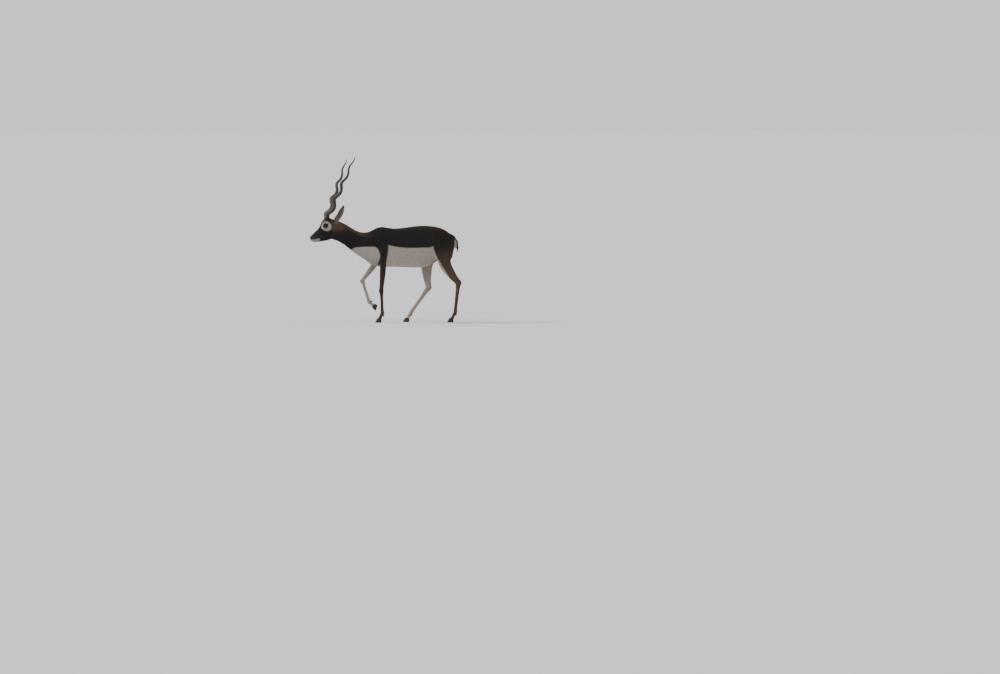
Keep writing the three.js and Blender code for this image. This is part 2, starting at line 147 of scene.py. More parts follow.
HEAD_RELIEF = [
    ((-520, 52, 838), (26, 12, 9), 24, 2.6),
    ((-536, 44, 783), (30, 12, 9), 36, 1.4),
    ((-470, 50, 800), (24, 12, 8), -10, 2.6),
    ((-478, 46, 842), (15, 12, 12), 0, -3.0),
    ((-474, 42, 748), (28, 16, 30), -18, 3.6),
    ((-540, 32, 742), (24, 12, 20), 30, -3.0),
    ((-578, 28, 762), (26, 10, 10), 44, 1.4),
    ((-606, 24, 722), (13, 9, 12), 0, 1.8),
    ((-582, 24, 722), (9, 9, 15), 20, -1.5),
    ((-596, 16, 684), (14, 14, 6), 0, 1.8),
    ((-450, 30, 712), (26, 14, 20), 0, -3.0),
    ((-560, 10, 800), (40, 12, 10), 50, -1.2),
    ((-442, 48, 785), (24, 14, 44), 0, -2.0),
]

# Lines on the face, as [x, z] points seen from the side. The mouth, gland and nose cleft are cut into it.
MOUTH = [(-646, 690), (-624, 695), (-600, 696), (-578, 700), (-568, 705)]
GLAND = [(-553, 789), (-546, 777), (-537, 765)]
NOSE_CLEFT = [(-650, 712), (-628, 702), (-624, 694)]
BRIDGE = [(-610, 731), (-578, 751), (-548, 768)]  # pale line along the nose

EYE_RADIUS = 17.3
EYE_OUTWARD = np.array([-0.30, 0.945, 0.12])  # the way the right eye looks
EYE_HALF_WIDTH = 18.4
EYE_UPPER = 13.4
EYE_LOWER = 10.8
EYE_CORNERS = 1.75  # the higher, the blunter the corners of the opening
LID_RADIUS = 19.4
LID_HALF_THICKNESS = 1.5

HORN = {"base": (-494, 29, 868), "turns": 3.9, "bulge": 0.2, "rings": 54}
HORN_TIPS = {"left": (-286, 228, 1392), "right": (-294, 228, 1366)}
EAR_ROWS = [
    (0.0, 19, 150),
    (0.12, 27, 128),
    (0.28, 34, 100),
    (0.46, 36, 82),
    (0.64, 31, 70),
    (0.80, 21, 60),
    (0.92, 11, 50),
    (1.0, 2.5, 40),
]
EAR_OPENS = {"left": (-0.55, -0.8, 0.1), "right": (-0.8, 0.1, 0.2)}
EAR_THICKNESS = 3.4

# Colours of the coat, linear.
BLACK = np.array([0.0200, 0.0170, 0.0180])
DARK_BROWN = np.array([0.036, 0.0245, 0.0185])
BROWN = np.array([0.085, 0.048, 0.028])
FORELEG_BROWN = np.array([0.046, 0.027, 0.020])
# Brown of the nape, lightened with a painted sheen of rim light.
NAPE_BROWN_AND_SHEEN = np.array([0.150, 0.092, 0.054])
HAUNCH_BROWN = np.array([0.112, 0.067, 0.042])
WHITE = np.array([0.57, 0.50, 0.44])
# White in painted shade, for the inner sides of the legs.
LEG_WHITE_IN_SHADE = np.array([0.42, 0.35, 0.295])
PALE = np.array([0.44, 0.39, 0.35])
RING_GREY = np.array([0.47, 0.435, 0.41])
# Painted sheen on the dark sides of the muzzle.
MUZZLE_SHEEN = np.array([0.062, 0.047, 0.048])
EAR_INSIDE = np.array([0.205, 0.158, 0.140])
BARE_SKIN = np.array([0.008, 0.0065, 0.006])

# The line between dark and white along the body, seen from the side, as [x, z] points.
WHITE_LINE = [(-330, 600), (-286, 622), (-262, 634), (-180, 637), (-104, 638), (-40, 655), (8, 651), (60, 638),
              (146, 627), (260, 627), (360, 630), (388, 640), (400, 610), (520, 560), (570, 590), (640, 600)]
# The edges of the dark on the legs, as [z, x] points: before and behind the foreleg, and before the thigh.
FORELEG_FRONT = [(440, -96), (487, -76), (520, -66), (575, -58), (617, -74), (640, -104)]
FORELEG_REAR = [(400, 12), (436, 3), (470, -4), (503, -5), (537, -2), (575, 4), (640, 10)]
RAISED_FRONT = [(440, -165), (500, -138), (540, -116), (575, -106), (617, -110), (640, -132)]
RAISED_REAR = [(440, -90), (470, -58), (500, -30), (540, -12), (575, 0), (640, 10)]
THIGH_FRONT_RIGHT = [(440, 348), (503, 342), (537, 345), (571, 355), (605, 375), (640, 389), (660, 380)]
THIGH_FRONT = [(301, 566), (335, 553), (369, 533), (402, 518), (436, 494), (470, 472), (503, 453), (537, 433),
               (571, 412), (605, 395), (640, 388), (660, 380)]

# Each part's tile on the unwrap: its low corner, width and height.
UV_TILES = {
    "trunk": (0.01, 0.01, 0.58, 0.46),
    "neck": (0.62, 0.01, 0.36, 0.22),
    "head": (0.62, 0.26, 0.36, 0.30),
    "tail": (0.62, 0.60, 0.10, 0.16),
    "leg_fore_left": (0.01, 0.51, 0.13, 0.47),
    "leg_fore_right": (0.16, 0.51, 0.13, 0.47),
    "leg_hind_left": (0.31, 0.51, 0.13, 0.47),
    "leg_hind_right": (0.46, 0.51, 0.13, 0.47),
    "ear_left": (0.75, 0.60, 0.20, 0.16),
    "ear_right": (0.75, 0.80, 0.20, 0.16),
}
UV_WRAP = 0.94  # share of a tile's width that one turn round the part takes

CAMERA_PLACE = (-6.7366, -46.0952, 1.6259)
CAMERA_HEADING = 9.5  # degrees from straight across the animal's left side
CAMERA_DROP = 2.15
FLOOR_HALF_SIZE = 4000


def smoothstep(low, high, value):
    """0 below the low value and 1 above the high one, with a smooth rise between."""
    share = np.clip((value - low) / (high - low), 0.0, 1.0)
    return share * share * (3 - 2 * share)


def mix(first, second, share):
    """One colour turning into another, for each share."""
    return first + (second - first) * share[..., None]


def unit(vectors):
    return vectors / np.maximum(np.linalg.norm(vectors, axis=-1, keepdims=True), 1e-9)


def coat_depth(x, z):
    """How far the skin lies inside the coat's outline."""
    body = 0.9 + 2.5 * smoothstep(430, 600, z)
    head = 0.7 + 0.8 * smoothstep(-600, -540, x)
    return head + (body - head) * smoothstep(-470, -400, x)


class Volume:
    """Distances to a surface on a regular lattice, negative inside."""

    def __init__(self, low, high, step, band):
        self.step, self.band = step, band
        self.first = np.floor(np.array(low) / step).astype(int)
        self.count = np.ceil(np.array(high) / step).astype(int) - self.first + 1
        self.values = np.full(self.count, band, np.float32)

    def window(self, centre, reach):
        """The part of the lattice round a point, and its coordinates along each axis."""
        start = np.floor((np.array(centre) - reach) / self.step).astype(int) - self.first
        stop = np.ceil((np.array(centre) + reach) / self.step).astype(int) - self.first + 1
        start, stop = np.clip(start, 0, self.count), np.clip(stop, 0, self.count)
        part = tuple(slice(a, b) for a, b in zip(start, stop))
        axes = [(self.first[i] + np.arange(start[i], stop[i])) * self.step for i in range(3)]
        shapes = [(-1, 1, 1), (1, -1, 1), (1, 1, -1)]
        return part, [axis.astype(np.float32).reshape(shape) for axis, shape in zip(axes, shapes)]

    def everywhere(self):
        return self.window(self.first * self.step + self.count * self.step / 2, self.count * self.step)

    def distances(self, points, triangles):
        """Distances to a closed mesh."""
        grid = openvdb.FloatGrid.createLevelSetFromPolygons(
            np.ascontiguousarray(points, np.float32),
            triangles=np.ascontiguousarray(triangles, np.uint32),
            transform=openvdb.createLinearTransform(self.step),
            exBandWidth=self.band / self.step,
            inBandWidth=self.band / self.step,
        )
        values = np.empty(self.count, np.float32)
        grid.copyToArray(values, ijk=tuple(int(i) for i in self.first))
        return values

    def add_nodes(self, names, grow):
        """Joins CAD nodes to the shape, each grown by so many millimetres."""
        for name in names:
            self.values = np.minimum(self.values, self.distances(*node_mesh(name)) - grow)

    def surface(self, level=0.0):
        """The surface where the distance has this value, as points and triangles that face outwards."""
        grid = openvdb.FloatGrid(self.band)
        grid.transform = openvdb.createLinearTransform(self.step)
        grid.copyFromArray(self.values, ijk=tuple(int(i) for i in self.first))
        points, quads = grid.convertToQuads(isovalue=level)
        triangles = halved(quads.astype(np.int64))
        a, b, c = (points[triangles[:, i]].astype(float) for i in range(3))
        if np.einsum("ij,ij->i", a, np.cross(b, c)).sum() < 0:
            triangles = triangles[:, ::-1]
        return points.astype(float), np.ascontiguousarray(triangles)

    def closed(self, radius):
        """Fills creases that are narrower than a ball of this radius."""
        points, triangles = self.surface(radius)
        self.values = self.distances(points, triangles) + radius

    def smoothed(self, sigma):
        """The values blurred by so many millimetres."""
        spread = sigma / self.step
        reach = int(math.ceil(2.6 * spread))
        weights = np.exp(-0.5 * (np.arange(-reach, reach + 1) / spread) ** 2)
        weights /= weights.sum()
        values = self.values
        for axis in range(3):
            padding = [(reach, reach) if i == axis else (0, 0) for i in range(3)]
            padded = np.pad(values, padding, mode="edge")
            length = values.shape[axis]
            values = np.zeros_like(values)
            for i, weight in enumerate(weights):
                part = [slice(None)] * 3
                part[axis] = slice(i, i + length)
                values += np.float32(weight) * padded[tuple(part)]
        return values


def halved(quads):
    """The two triangles of each quad."""
    return np.concatenate([quads[:, [0, 1, 2]], quads[:, [0, 2, 3]]])


def sides_of(triangles):
    return np.concatenate([triangles[:, [0, 1]], triangles[:, [1, 2]], triangles[:, [2, 0]]])


def one_turn(u):
    """Turns round a part at the corners of each face, without a jump inside the face."""
    jump = u.max(axis=1) - u.min(axis=1) > 0.5
    return u + (jump[:, None] & (u < 0.5))


def soft_min(a, b, width):
    """The lower of two distances, with the corner between them rounded."""
    near = np.maximum(width - np.abs(a - b), 0) / width
    return np.minimum(a, b) - near * near * (width / 4)


def leaning(axes, centre, lean):
    """Coordinates from a centre, turned in the plane of the animal's side."""
    angle = math.radians(lean)
    x, y, z = axes[0] - centre[0], axes[1] - centre[1], axes[2] - centre[2]
    return x * math.cos(angle) + z * math.sin(angle), y, z * math.cos(angle) - x * math.sin(angle)


def raise_relief(volume, relief):
    for (x, out, z), reach, lean, height in relief:
        for side in SIDES.values():
            centre = (x, side * out, z)
            part, axes = volume.window(centre, 2.4 * max(reach))
            along, across, up = leaning(axes, centre, lean)
            share = (along / reach[0]) ** 2 + (across / reach[1]) ** 2 + (up / reach[2]) ** 2
            volume.values[part] -= height * np.exp(-share)


def near_line(axes, line):
    """Distances to a line of [x, z] points, seen from the side."""
    nearest = None
    for (ax, az), (bx, bz) in zip(line, line[1:]):
        dx, dz = bx - ax, bz - az
        share = np.clip(((axes[0] - ax) * dx + (axes[2] - az) * dz) / (dx * dx + dz * dz), 0, 1)
        distance = np.hypot(axes[0] - ax - share * dx, axes[2] - az - share * dz)
        nearest = distance if nearest is None else np.minimum(nearest, distance)
    return nearest


def cut_line(volume, line, width, depth, lips, y_range=(-70, 70)):
    """A line cut into both sides of the surface, with low raised edges."""
    xs, zs = [p[0] for p in line], [p[1] for p in line]
    centre = ((min(xs) + max(xs)) / 2, (y_range[0] + y_range[1]) / 2, (min(zs) + max(zs)) / 2)
    reach = np.array([max(xs) - min(xs) + 20, y_range[1] - y_range[0], max(zs) - min(zs) + 20]) / 2
    part, axes = volume.window(centre, reach)
    distance = near_line(axes, line)
    values = volume.values[part]
    values = values - lips * np.exp(-(((distance - width * 1.7) / (width * 0.9)) ** 2))
    fill = depth * np.exp(-((distance / (width * 0.62)) ** 2))
    volume.values[part] = values + fill


def carve_ball(volume, centre, reach, lean, soft=2.0):
    part, axes = volume.window(centre, max(reach) + 12)
    along, across, up = leaning(axes, centre, lean)
    share = np.sqrt((along / reach[0]) ** 2 + (across / reach[1]) ** 2 + (up / reach[2]) ** 2)
    ball = (share - 1) * min(reach)
    volume.values[part] = -soft_min(-volume.values[part], ball, soft)


def add_ball(volume, centre, reach, lean, soft):
    part, axes = volume.window(centre, max(reach) + 14)
    along, across, up = leaning(axes, centre, lean)
    share = np.sqrt((along / reach[0]) ** 2 + (across / reach[1]) ** 2 + (up / reach[2]) ** 2)
    ball = (share - 1) * min(reach)
    volume.values[part] = soft_min(volume.values[part], ball.astype(np.float32), soft)


def node_mesh(name):
    """A CAD node's points in millimetres and its triangles, with shared corners joined."""
    points, triangles = read_mesh(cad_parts[name].data)
    keys = np.round(points * 200).astype(np.int64)
    _, first, joined = np.unique(keys, axis=0, return_index=True, return_inverse=True)
    return points[first], joined.reshape(-1)[triangles]


def node_centre(name):
    low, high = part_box(name)
    return np.array((low + high) / 2) / MM


def between(rows, shares):
    """Rows of numbers along smooth curves through the given rows, whose first number is their place."""
    rows = np.array(rows, float)
    places, values = rows[:, 0], rows[:, 1:]
    slopes = np.gradient(values, places, axis=0)
    i = np.clip(np.searchsorted(places, shares, side="right") - 1, 0, len(places) - 2)
    span = (places[i + 1] - places[i])[:, None]
    t = ((shares - places[i])[:, None]) / span
    a, b = values[i], values[i + 1]
    ta, tb = slopes[i] * span, slopes[i + 1] * span
    from_a = (2 * t**3 - 3 * t**2 + 1) * a + (t**3 - 2 * t**2 + t) * ta
    return from_a + (3 * t**2 - 2 * t**3) * b + (t**3 - t**2) * tb


def ring_faces(rows, sides):
    """Quads of a tube of so many rings, each of so many points."""
    row, place = np.meshgrid(np.arange(rows - 1), np.arange(sides), indexing="ij")
    after = (place + 1) % sides
    a, b = row * sides + place, row * sides + after
    return np.stack([a, b, b + sides, a + sides], axis=-1).reshape(-1, 4)


def ear_shell(word):
    """The ear as a fine closed mesh: a rolled leaf that opens towards its tip."""
    root, tip = (np.array(p, float) for p in LINES["ear_" + word]["points"])
    along = unit(tip - root)
    opens = np.array(EAR_OPENS[word])
    opens = unit(opens - along * opens.dot(along))
    across = np.cross(along, opens)
    count, half_sides = 48, 26
    shares = np.linspace(0, 1, count)
    shape = between(EAR_ROWS, shares)
    across_share = np.linspace(-1, 1, half_sides)
    rings = []
    for t, (arc, open_degrees) in zip(shares, shape):
        half = math.radians(open_degrees)
        radius = max(arc, 1.6) / half
        thick = EAR_THICKNESS * (1 - 0.35 * t)
        edge = np.sqrt(np.clip(1 - np.abs(across_share) ** 6, 0, 1))
        for depth, order in ((0.5 * thick * (1 - edge), 1), (thick * (0.5 + 0.5 * edge), -1)):
            reach = radius - np.minimum(depth, radius * 0.85)
            angle = half * across_share
            ripple = 0.7 * np.sin(across_share * 9) * math.sin(math.pi * t) * (order < 0)
            ring = (
                root
                + (tip - root) * t
                + np.outer(radius * 0.5 - (reach - ripple) * np.cos(angle), opens)
                + np.outer(reach * np.sin(angle), across)
            )
            rings.append(ring[::order])
    points = np.array(rings).reshape(count, half_sides * 2, 3).reshape(-1, 3)
    quads = ring_faces(count, half_sides * 2)
    triangles = halved(quads)
    caps = []
    for start in (0, (count - 1) * half_sides * 2):
        for i in range(half_sides - 1):
            a, b = start + i, start + i + 1
            c, d = start + half_sides * 2 - 2 - i, start + half_sides * 2 - 1 - i
            caps += [(a, b, c), (a, c, d)] if start else [(c, b, a), (d, c, a)]
    return points, np.concatenate([triangles, np.array(caps)])


def leg_relief(volume):
    """Tendons along the cannons, and the shapes of knees, hocks and fetlocks."""
    for name in LEG_NAMES:
        points = [np.array(p, float) for p in LINES[name]["points"]]
        side = SIDES[name.split("_")[2]]
        hind = "hind" in name
        down = [unit(b - a) for a, b in zip(points, points[1:])]
        behind = [np.array([-d[2], 0, d[0]]) for d in down]
        outer = np.array([0, side, 0.0])
        cannon = [points[2] + (points[3] - points[2]) * t + behind[2] * 4.0 for t in (0.2, 0.5, 0.9)]
        line = [(p[0], p[2]) for p in cannon]
        y_range = sorted((side * 40, side * 100))
        cut_line(volume, line, 3.0, 1.6, 0.6, y_range)
        shapes = []
        if hind:
            string = points[1] + (points[2] - points[1]) * 0.74 + behind[1] * 11
            shapes += [(string + outer * s * 15, (34, 10, 7), -5.0) for s in (1, -1)]
            shapes.append((points[2] + behind[1] * 26, (12, 10, 14), 2.0))
            shapes += [(points[2] + outer * s * 15 - behind[2] * 4, (13, 8, 15), 1.6) for s in (1, -1)]
        else:
            shapes.append((points[2] - behind[2] * 18, (12, 14, 20), 1.8))
            shapes.append((points[2] + behind[2] * 18 + down[2] * 4, (9, 8, 10), 1.8))
            forearm = points[1] + (points[2] - points[1]) * 0.3
            shapes += [(forearm + outer * s * 22, (40, 8, 8), 1.6) for s in (1, -1)]
        shapes += [(points[3] + outer * s * 13 + behind[2] * 2, (10, 6, 12), 1.2) for s in (1, -1)]
        shapes.append((points[3] + behind[3] * 14, (10, 9, 8), 1.5))
        for centre, (long, wide, deep), height in shapes:
            bone = down[1] if long > 20 else down[2]
            lean = math.degrees(math.atan2(bone[2], bone[0]))
            part, axes = volume.window(centre, 2.4 * long)
            along, across, up = leaning(axes, centre, lean)
            share = (along / long) ** 2 + (across / wide) ** 2 + (up / deep) ** 2
            volume.values[part] -= height * np.exp(-share)


def body_skin():
    """The skin of everything behind the head."""
    volume = Volume((-440, -150, 10), (660, 150, 860), BODY_STEP, BODY_BAND)
    volume.add_nodes(("trunk", "neck", "tail") + LEG_NAMES, BODY_GROW)
    volume.closed(CREASE_FILL)
    volume.values += BODY_GROW
    _, axes = volume.everywhere()
    upper = smoothstep(440, 530, axes[2]) * smoothstep(616, 590, axes[0])
    upper = upper * smoothstep(NECK_JOIN_X, NECK_JOIN_X + 60, axes[0])
    fine, coarse = volume.smoothed(2.6), volume.smoothed(8.0)
    volume.values = (fine + (coarse - fine) * upper).astype(np.float32)
    broad = volume.smoothed(14.0)
    across = smoothstep(30, 60, np.abs(axes[1]))
    for x, z in THIGH_TOP:
        share = across * np.exp(-(((axes[0] - x) / 80) ** 2) - ((axes[2] - z) / 40) ** 2)
        volume.values += ((broad - volume.values) * share).astype(np.float32)
    raise_relief(volume, BODY_RELIEF)
    ribs = np.cos((axes[0] + 0.4 * (axes[2] - 600)) * 2 * math.pi / RIB_SPACING)
    on_ribs = smoothstep(60, 110, axes[0]) * smoothstep(350, 290, axes[0])
    on_ribs = on_ribs * smoothstep(480, 540, axes[2]) * smoothstep(740, 690, axes[2])
    volume.values -= (RIB_HEIGHT * ribs * on_ribs).astype(np.float32)
    leg_relief(volume)
    volume.values += coat_depth(axes[0], axes[2]).astype(np.float32)
    return volume.surface()


def eye_frame(side):
    """An eye's centre, then the ways it looks, its front corner lies and its upper lid lies."""
    centre = node_centre("eye_left" if side < 0 else "eye_right")
    outward = unit(EYE_OUTWARD * np.array([1, side, 1]))
    forward = np.array([-0.86, 0, -0.5])
    forward = unit(forward - outward * forward.dot(outward))
    up = unit(np.cross(outward, forward) * side)
    return centre, outward, forward, up if up[2] > 0 else -up


def aperture(forward_reach, up_reach):
    """How far outside the opening between the lids a point is. The corners are pointed."""
    height = np.where(up_reach > 0, EYE_UPPER, EYE_LOWER)
    share = np.clip(np.abs(forward_reach) / EYE_HALF_WIDTH, 0, 1.6)
    edge = height * (1 - share**EYE_CORNERS)
    return np.abs(up_reach) - edge


def add_lids(volume):
    for side in SIDES.values():
        centre, outward, forward, up = eye_frame(side)
        part, axes = volume.window(centre, 34)
        x, y, z = (axis - c for axis, c in zip(axes, centre))
        reach = np.sqrt(x * x + y * y + z * z)
        out = x * outward[0] + y * outward[1] + z * outward[2]
        to_front = x * forward[0] + y * forward[1] + z * forward[2]
        to_top = x * up[0] + y * up[1] + z * up[2]
        outside = aperture(to_front, to_top)
        shell = np.abs(reach - LID_RADIUS) - LID_HALF_THICKNESS
        lid = -soft_min(-shell, outside + 0.6, 1.6)
        lid = np.maximum(lid, 3.0 - out)
        values = soft_min(volume.values[part], lid.astype(np.float32), 5.0)
        crease = np.abs(outside - np.where(to_top > 0, 6.0, 5.0)) / 1.3
        values = values + np.where(to_top > 0, 1.3, 0.8) * np.exp(-(crease**2)) * smoothstep(5, 11, out)
        second = np.abs(outside - 11.5) / 2.2
        values = values + 0.6 * np.exp(-(second**2)) * (to_top < 0) * smoothstep(4, 10, out)
        opening = np.maximum(np.maximum(outside, reach - 26), 0.4 - out)
        values = -soft_min(-values, opening.astype(np.float32), 1.2)
        ball = reach - (EYE_RADIUS + 0.35)
        volume.values[part] = -soft_min(-values, ball.astype(np.float32), 0.6)


def head_skin():
    """The skin of the head, ears and front of the neck, worked finely."""
    volume = Volume((-650, -104, 600), (NECK_JOIN_X + 12, 184, 1004), HEAD_STEP, HEAD_BAND)
    volume.add_nodes(("neck", "head"), HEAD_GROW)
    for side in SIDES.values():
        eye = node_centre("eye_left" if side < 0 else "eye_right")
        add_ball(volume, eye - np.array([0, side * 6, 0]), (17, 17, 17), 0, 2)
        horn = np.array(HORN["base"]) * np.array([1, side, 1])
        add_ball(volume, horn + (4, 0, 1), (24, 23, 17), -20, 7)
        ear = np.array(LINES["ear_left" if side < 0 else "ear_right"]["points"][0])
        add_ball(volume, ear + (4, -side * 6, -2), (19, 15, 20), 0, 8)
    volume.closed(4.0)
    volume.values += HEAD_GROW
    volume.values = volume.smoothed(4.0)
    raise_relief(volume, HEAD_RELIEF)
    _, axes = volume.everywhere()
    volume.values += coat_depth(axes[0], axes[2]).astype(np.float32)
    for word in SIDES:
        shell = volume.distances(*ear_shell(word)) + 0.25
        volume.values = soft_min(volume.values, shell, 7.0)
    cut_line(volume, MOUTH, 2.0, 2.4, 0.7)
    cut_line(volume, GLAND, 2.6, 3.4, 1.2)
    cut_line(volume, NOSE_CLEFT, 1.6, 1.4, 0.2, (-2, 2))
    for side in SIDES.values():
        carve_ball(volume, (-633, side * 12, 713), (7.5, 5, 3.0), -58)
        carve_ball(volume, (-628, side * 17, 718.5), (7, 5, 2.2), -28)
    add_lids(volume)
    return volume.surface()


def decimated(points, triangles, count):
    """The mesh with about so many triangles, kept finest where it curves."""
    mesh = mesh_of("working", points, triangles)
    working = bpy.data.objects.new("working", mesh)
    bpy.context.scene.collection.objects.link(working)
    fewer = working.modifiers.new("fewer", "DECIMATE")
    fewer.ratio = min(1.0, count / len(triangles))
    fewer.use_collapse_triangulate = True
    shown = working.evaluated_get(bpy.context.evaluated_depsgraph_get()).to_mesh()
    result = read_mesh(shown)
    bpy.data.objects.remove(working)
    bpy.data.meshes.remove(mesh)
    return result


def read_mesh(mesh):
    mesh.calc_loop_triangles()
    points = np.empty(len(mesh.vertices) * 3)
    mesh.vertices.foreach_get("co", points)
    triangles = np.empty(len(mesh.loop_triangles) * 3, np.int32)
    mesh.loop_triangles.foreach_get("vertices", triangles)
    return points.reshape(-1, 3) / MM, triangles.reshape(-1, 3).astype(np.int64)


def mesh_of(name, points, faces):
    """A mesh from points in millimetres and faces that all have the same number of corners."""
    mesh = bpy.data.meshes.new(name)
    mesh.vertices.add(len(points))
    mesh.vertices.foreach_set("co", (np.asarray(points) * MM).astype(np.float32).ravel())
    mesh.loops.add(faces.size)
    mesh.loops.foreach_set("vertex_index", faces.astype(np.int32).ravel())
    mesh.polygons.add(len(faces))
    mesh.polygons.foreach_set("loop_start", np.arange(0, faces.size, faces.shape[1], dtype=np.int32))
    mesh.update(calc_edges=True)
    return mesh


def cut_open(points, triangles, x, keep_front):
    """The mesh cut off at a plane across the animal, with the points on the plane in order round its edge."""
    mesh = mesh_of("cut", points, triangles)
    work = bmesh.new()
    work.from_mesh(mesh)
    normal = (1, 0, 0) if keep_front else (-1, 0, 0)
    parts = work.verts[:] + work.edges[:] + work.faces[:]
    bmesh.ops.bisect_plane(work, geom=parts, plane_co=(x * MM, 0, 0), plane_no=normal, clear_outer=True)
    bmesh.ops.triangulate(work, faces=work.faces[:])
    work.to_mesh(mesh)
    work.free()
    points, triangles = read_mesh(mesh)
    bpy.data.meshes.remove(mesh)
    edges, uses = np.unique(np.sort(sides_of(triangles), axis=1), axis=0, return_counts=True)
    rim = np.unique(edges[uses == 1])
    centre = points[rim].mean(axis=0)
    angles = np.arctan2(points[rim, 2] - centre[2], points[rim, 1] - centre[1])
    return points, triangles, rim[np.argsort(angles)], np.sort(angles)


def zipped(front, rear):
    """Two open meshes joined by a strip between their rims."""
    points = np.concatenate([front[0], rear[0]])
    shift = len(front[0])
    rims = [front[2], rear[2] + shift]
    angles = [front[3], rear[3]]
    place = [0, 0]
    strip = []
    while place[0] < len(rims[0]) or place[1] < len(rims[1]):
        after = [angles[k][place[k]] if place[k] < len(rims[k]) else math.inf for k in (0, 1)]
        k = 0 if after[0] <= after[1] else 1
        here, following = rims[k][place[k] - 1], rims[k][place[k]]
        other = rims[1 - k][place[1 - k] - 1]
        strip.append((here, following, other) if k else (following, here, other))
        place[k] += 1
    triangles = np.concatenate([front[1], rear[1] + shift, np.array(strip)])
    return points, triangles


def evened(points, triangles, x, reach):
    """The mesh with its points evened out on both sides of a plane across the animal."""
    near = np.flatnonzero(np.abs(points[:, 0] - x) < reach + 5)
    place = np.full(len(points), -1)
    place[near] = np.arange(len(near))
    sides = place[sides_of(triangles)]
    sides = sides[(sides >= 0).all(axis=1)]
    count = np.maximum(np.bincount(sides[:, 0], minlength=len(near)), 1)[:, None]
    local = points[near]
    share = 0.6 * smoothstep(reach, 0.4 * reach, np.abs(local[:, 0] - x))[:, None]
    for _ in range(70):
        total = [np.bincount(sides[:, 0], local[sides[:, 1], axis], len(near)) for axis in range(3)]
        local = local + (np.stack(total, axis=1) / count - local) * share
    points[near] = local
    return points


def whole_skin():
    head = cut_open(*head_skin(), NECK_JOIN_X - 1.5, True)
    body = cut_open(*body_skin(), NECK_JOIN_X + 1.5, False)
    points, triangles = zipped(head, body)
    points = evened(points, triangles, NECK_JOIN_X, 16.0)
    return decimated(points, triangles, SKIN_TRIANGLES)


def vertex_normals(points, triangles):
    a, b, c = (points[triangles[:, i]] for i in range(3))
    faces = np.cross(b - a, c - a)
    normals = np.zeros_like(points)
    for i in range(3):
        for axis in range(3):
            normals[:, axis] += np.bincount(triangles[:, i], faces[:, axis], len(points))
    return unit(normals), faces


class Lie:
    """Which part of the animal a point belongs to, and how its coat lies there."""

    def __init__(self):
        self.parts = list(LINES)
        rows = []
        for name, line in LINES.items():
            points = line["points"]
            for start, end, girth, hair in zip(points, points[1:], line["girth"], line["hair"]):
                rows.append((self.parts.index(name), start, end, girth, hair))
        for name, start, end, girth in TURNS:
            rows.append((self.parts.index(name), start, end, girth, LINES[name]["hair"][-1]))
        self.part = np.array([row[0] for row in rows])
        self.start = np.array([row[1] for row in rows], float)
        self.end = np.array([row[2] for row in rows], float)
        self.girth = np.array([row[3] for row in rows], float)
        self.hair = np.array([row[4] for row in rows], float)

    def read(self, points):
        """The part, the coat's direction and the length of its hair at each point."""
        total = np.zeros(len(points))
        direction = np.zeros_like(points)
        length = np.zeros(len(points))
        best = np.full(len(points), np.inf)
        part = np.zeros(len(points), int)
        for i in range(len(self.part)):
            line = self.end[i] - self.start[i]
            share = np.clip((points - self.start[i]) @ line / line.dot(line), 0, 1)
            distance = np.linalg.norm(points - self.start[i] - share[:, None] * line, axis=1)
            distance = np.maximum(distance / self.girth[i], 0.05)
            weight = distance**-3.0
            total += weight
            direction += weight[:, None] * unit(line)
            length += weight * self.hair[i]
            nearer = distance < best
            best[nearer] = distance[nearer]
            part[nearer] = self.part[i]
        return part, direction / total[:, None], length / total


def wobble(points, size):
    """Smooth uneven numbers, between about -1 and 1, that vary over a given distance."""
    x, y, z = (points / size).T
    return (
        np.sin(1.7 * x + 2.1 * y + 0.5)
        + np.sin(2.3 * y - 1.9 * z + 1.3)
        + np.sin(1.3 * z + 2.6 * x + 2.9)
        + 0.6 * np.sin(4.1 * x - 3.7 * z + 3.3 * y)
    ) / 3.0


def eye_place(points):
    """A point's distance from the nearer eye's centre, how far outside the lids' opening it is, and its angle
    round the eye."""
    side = np.where(points[:, 1] < 0, -1.0, 1.0)
    distance = np.zeros(len(points))
    outside = np.zeros(len(points))
    around = np.zeros(len(points))
    for value in SIDES.values():
        here = side == value
        centre, outward, forward, up = eye_frame(value)
        offset = points[here] - centre
        distance[here] = np.linalg.norm(offset, axis=1)
        outside[here] = aperture(offset @ forward, offset @ up)
        around[here] = np.arctan2(offset @ up, offset @ forward)
    return distance, outside, around



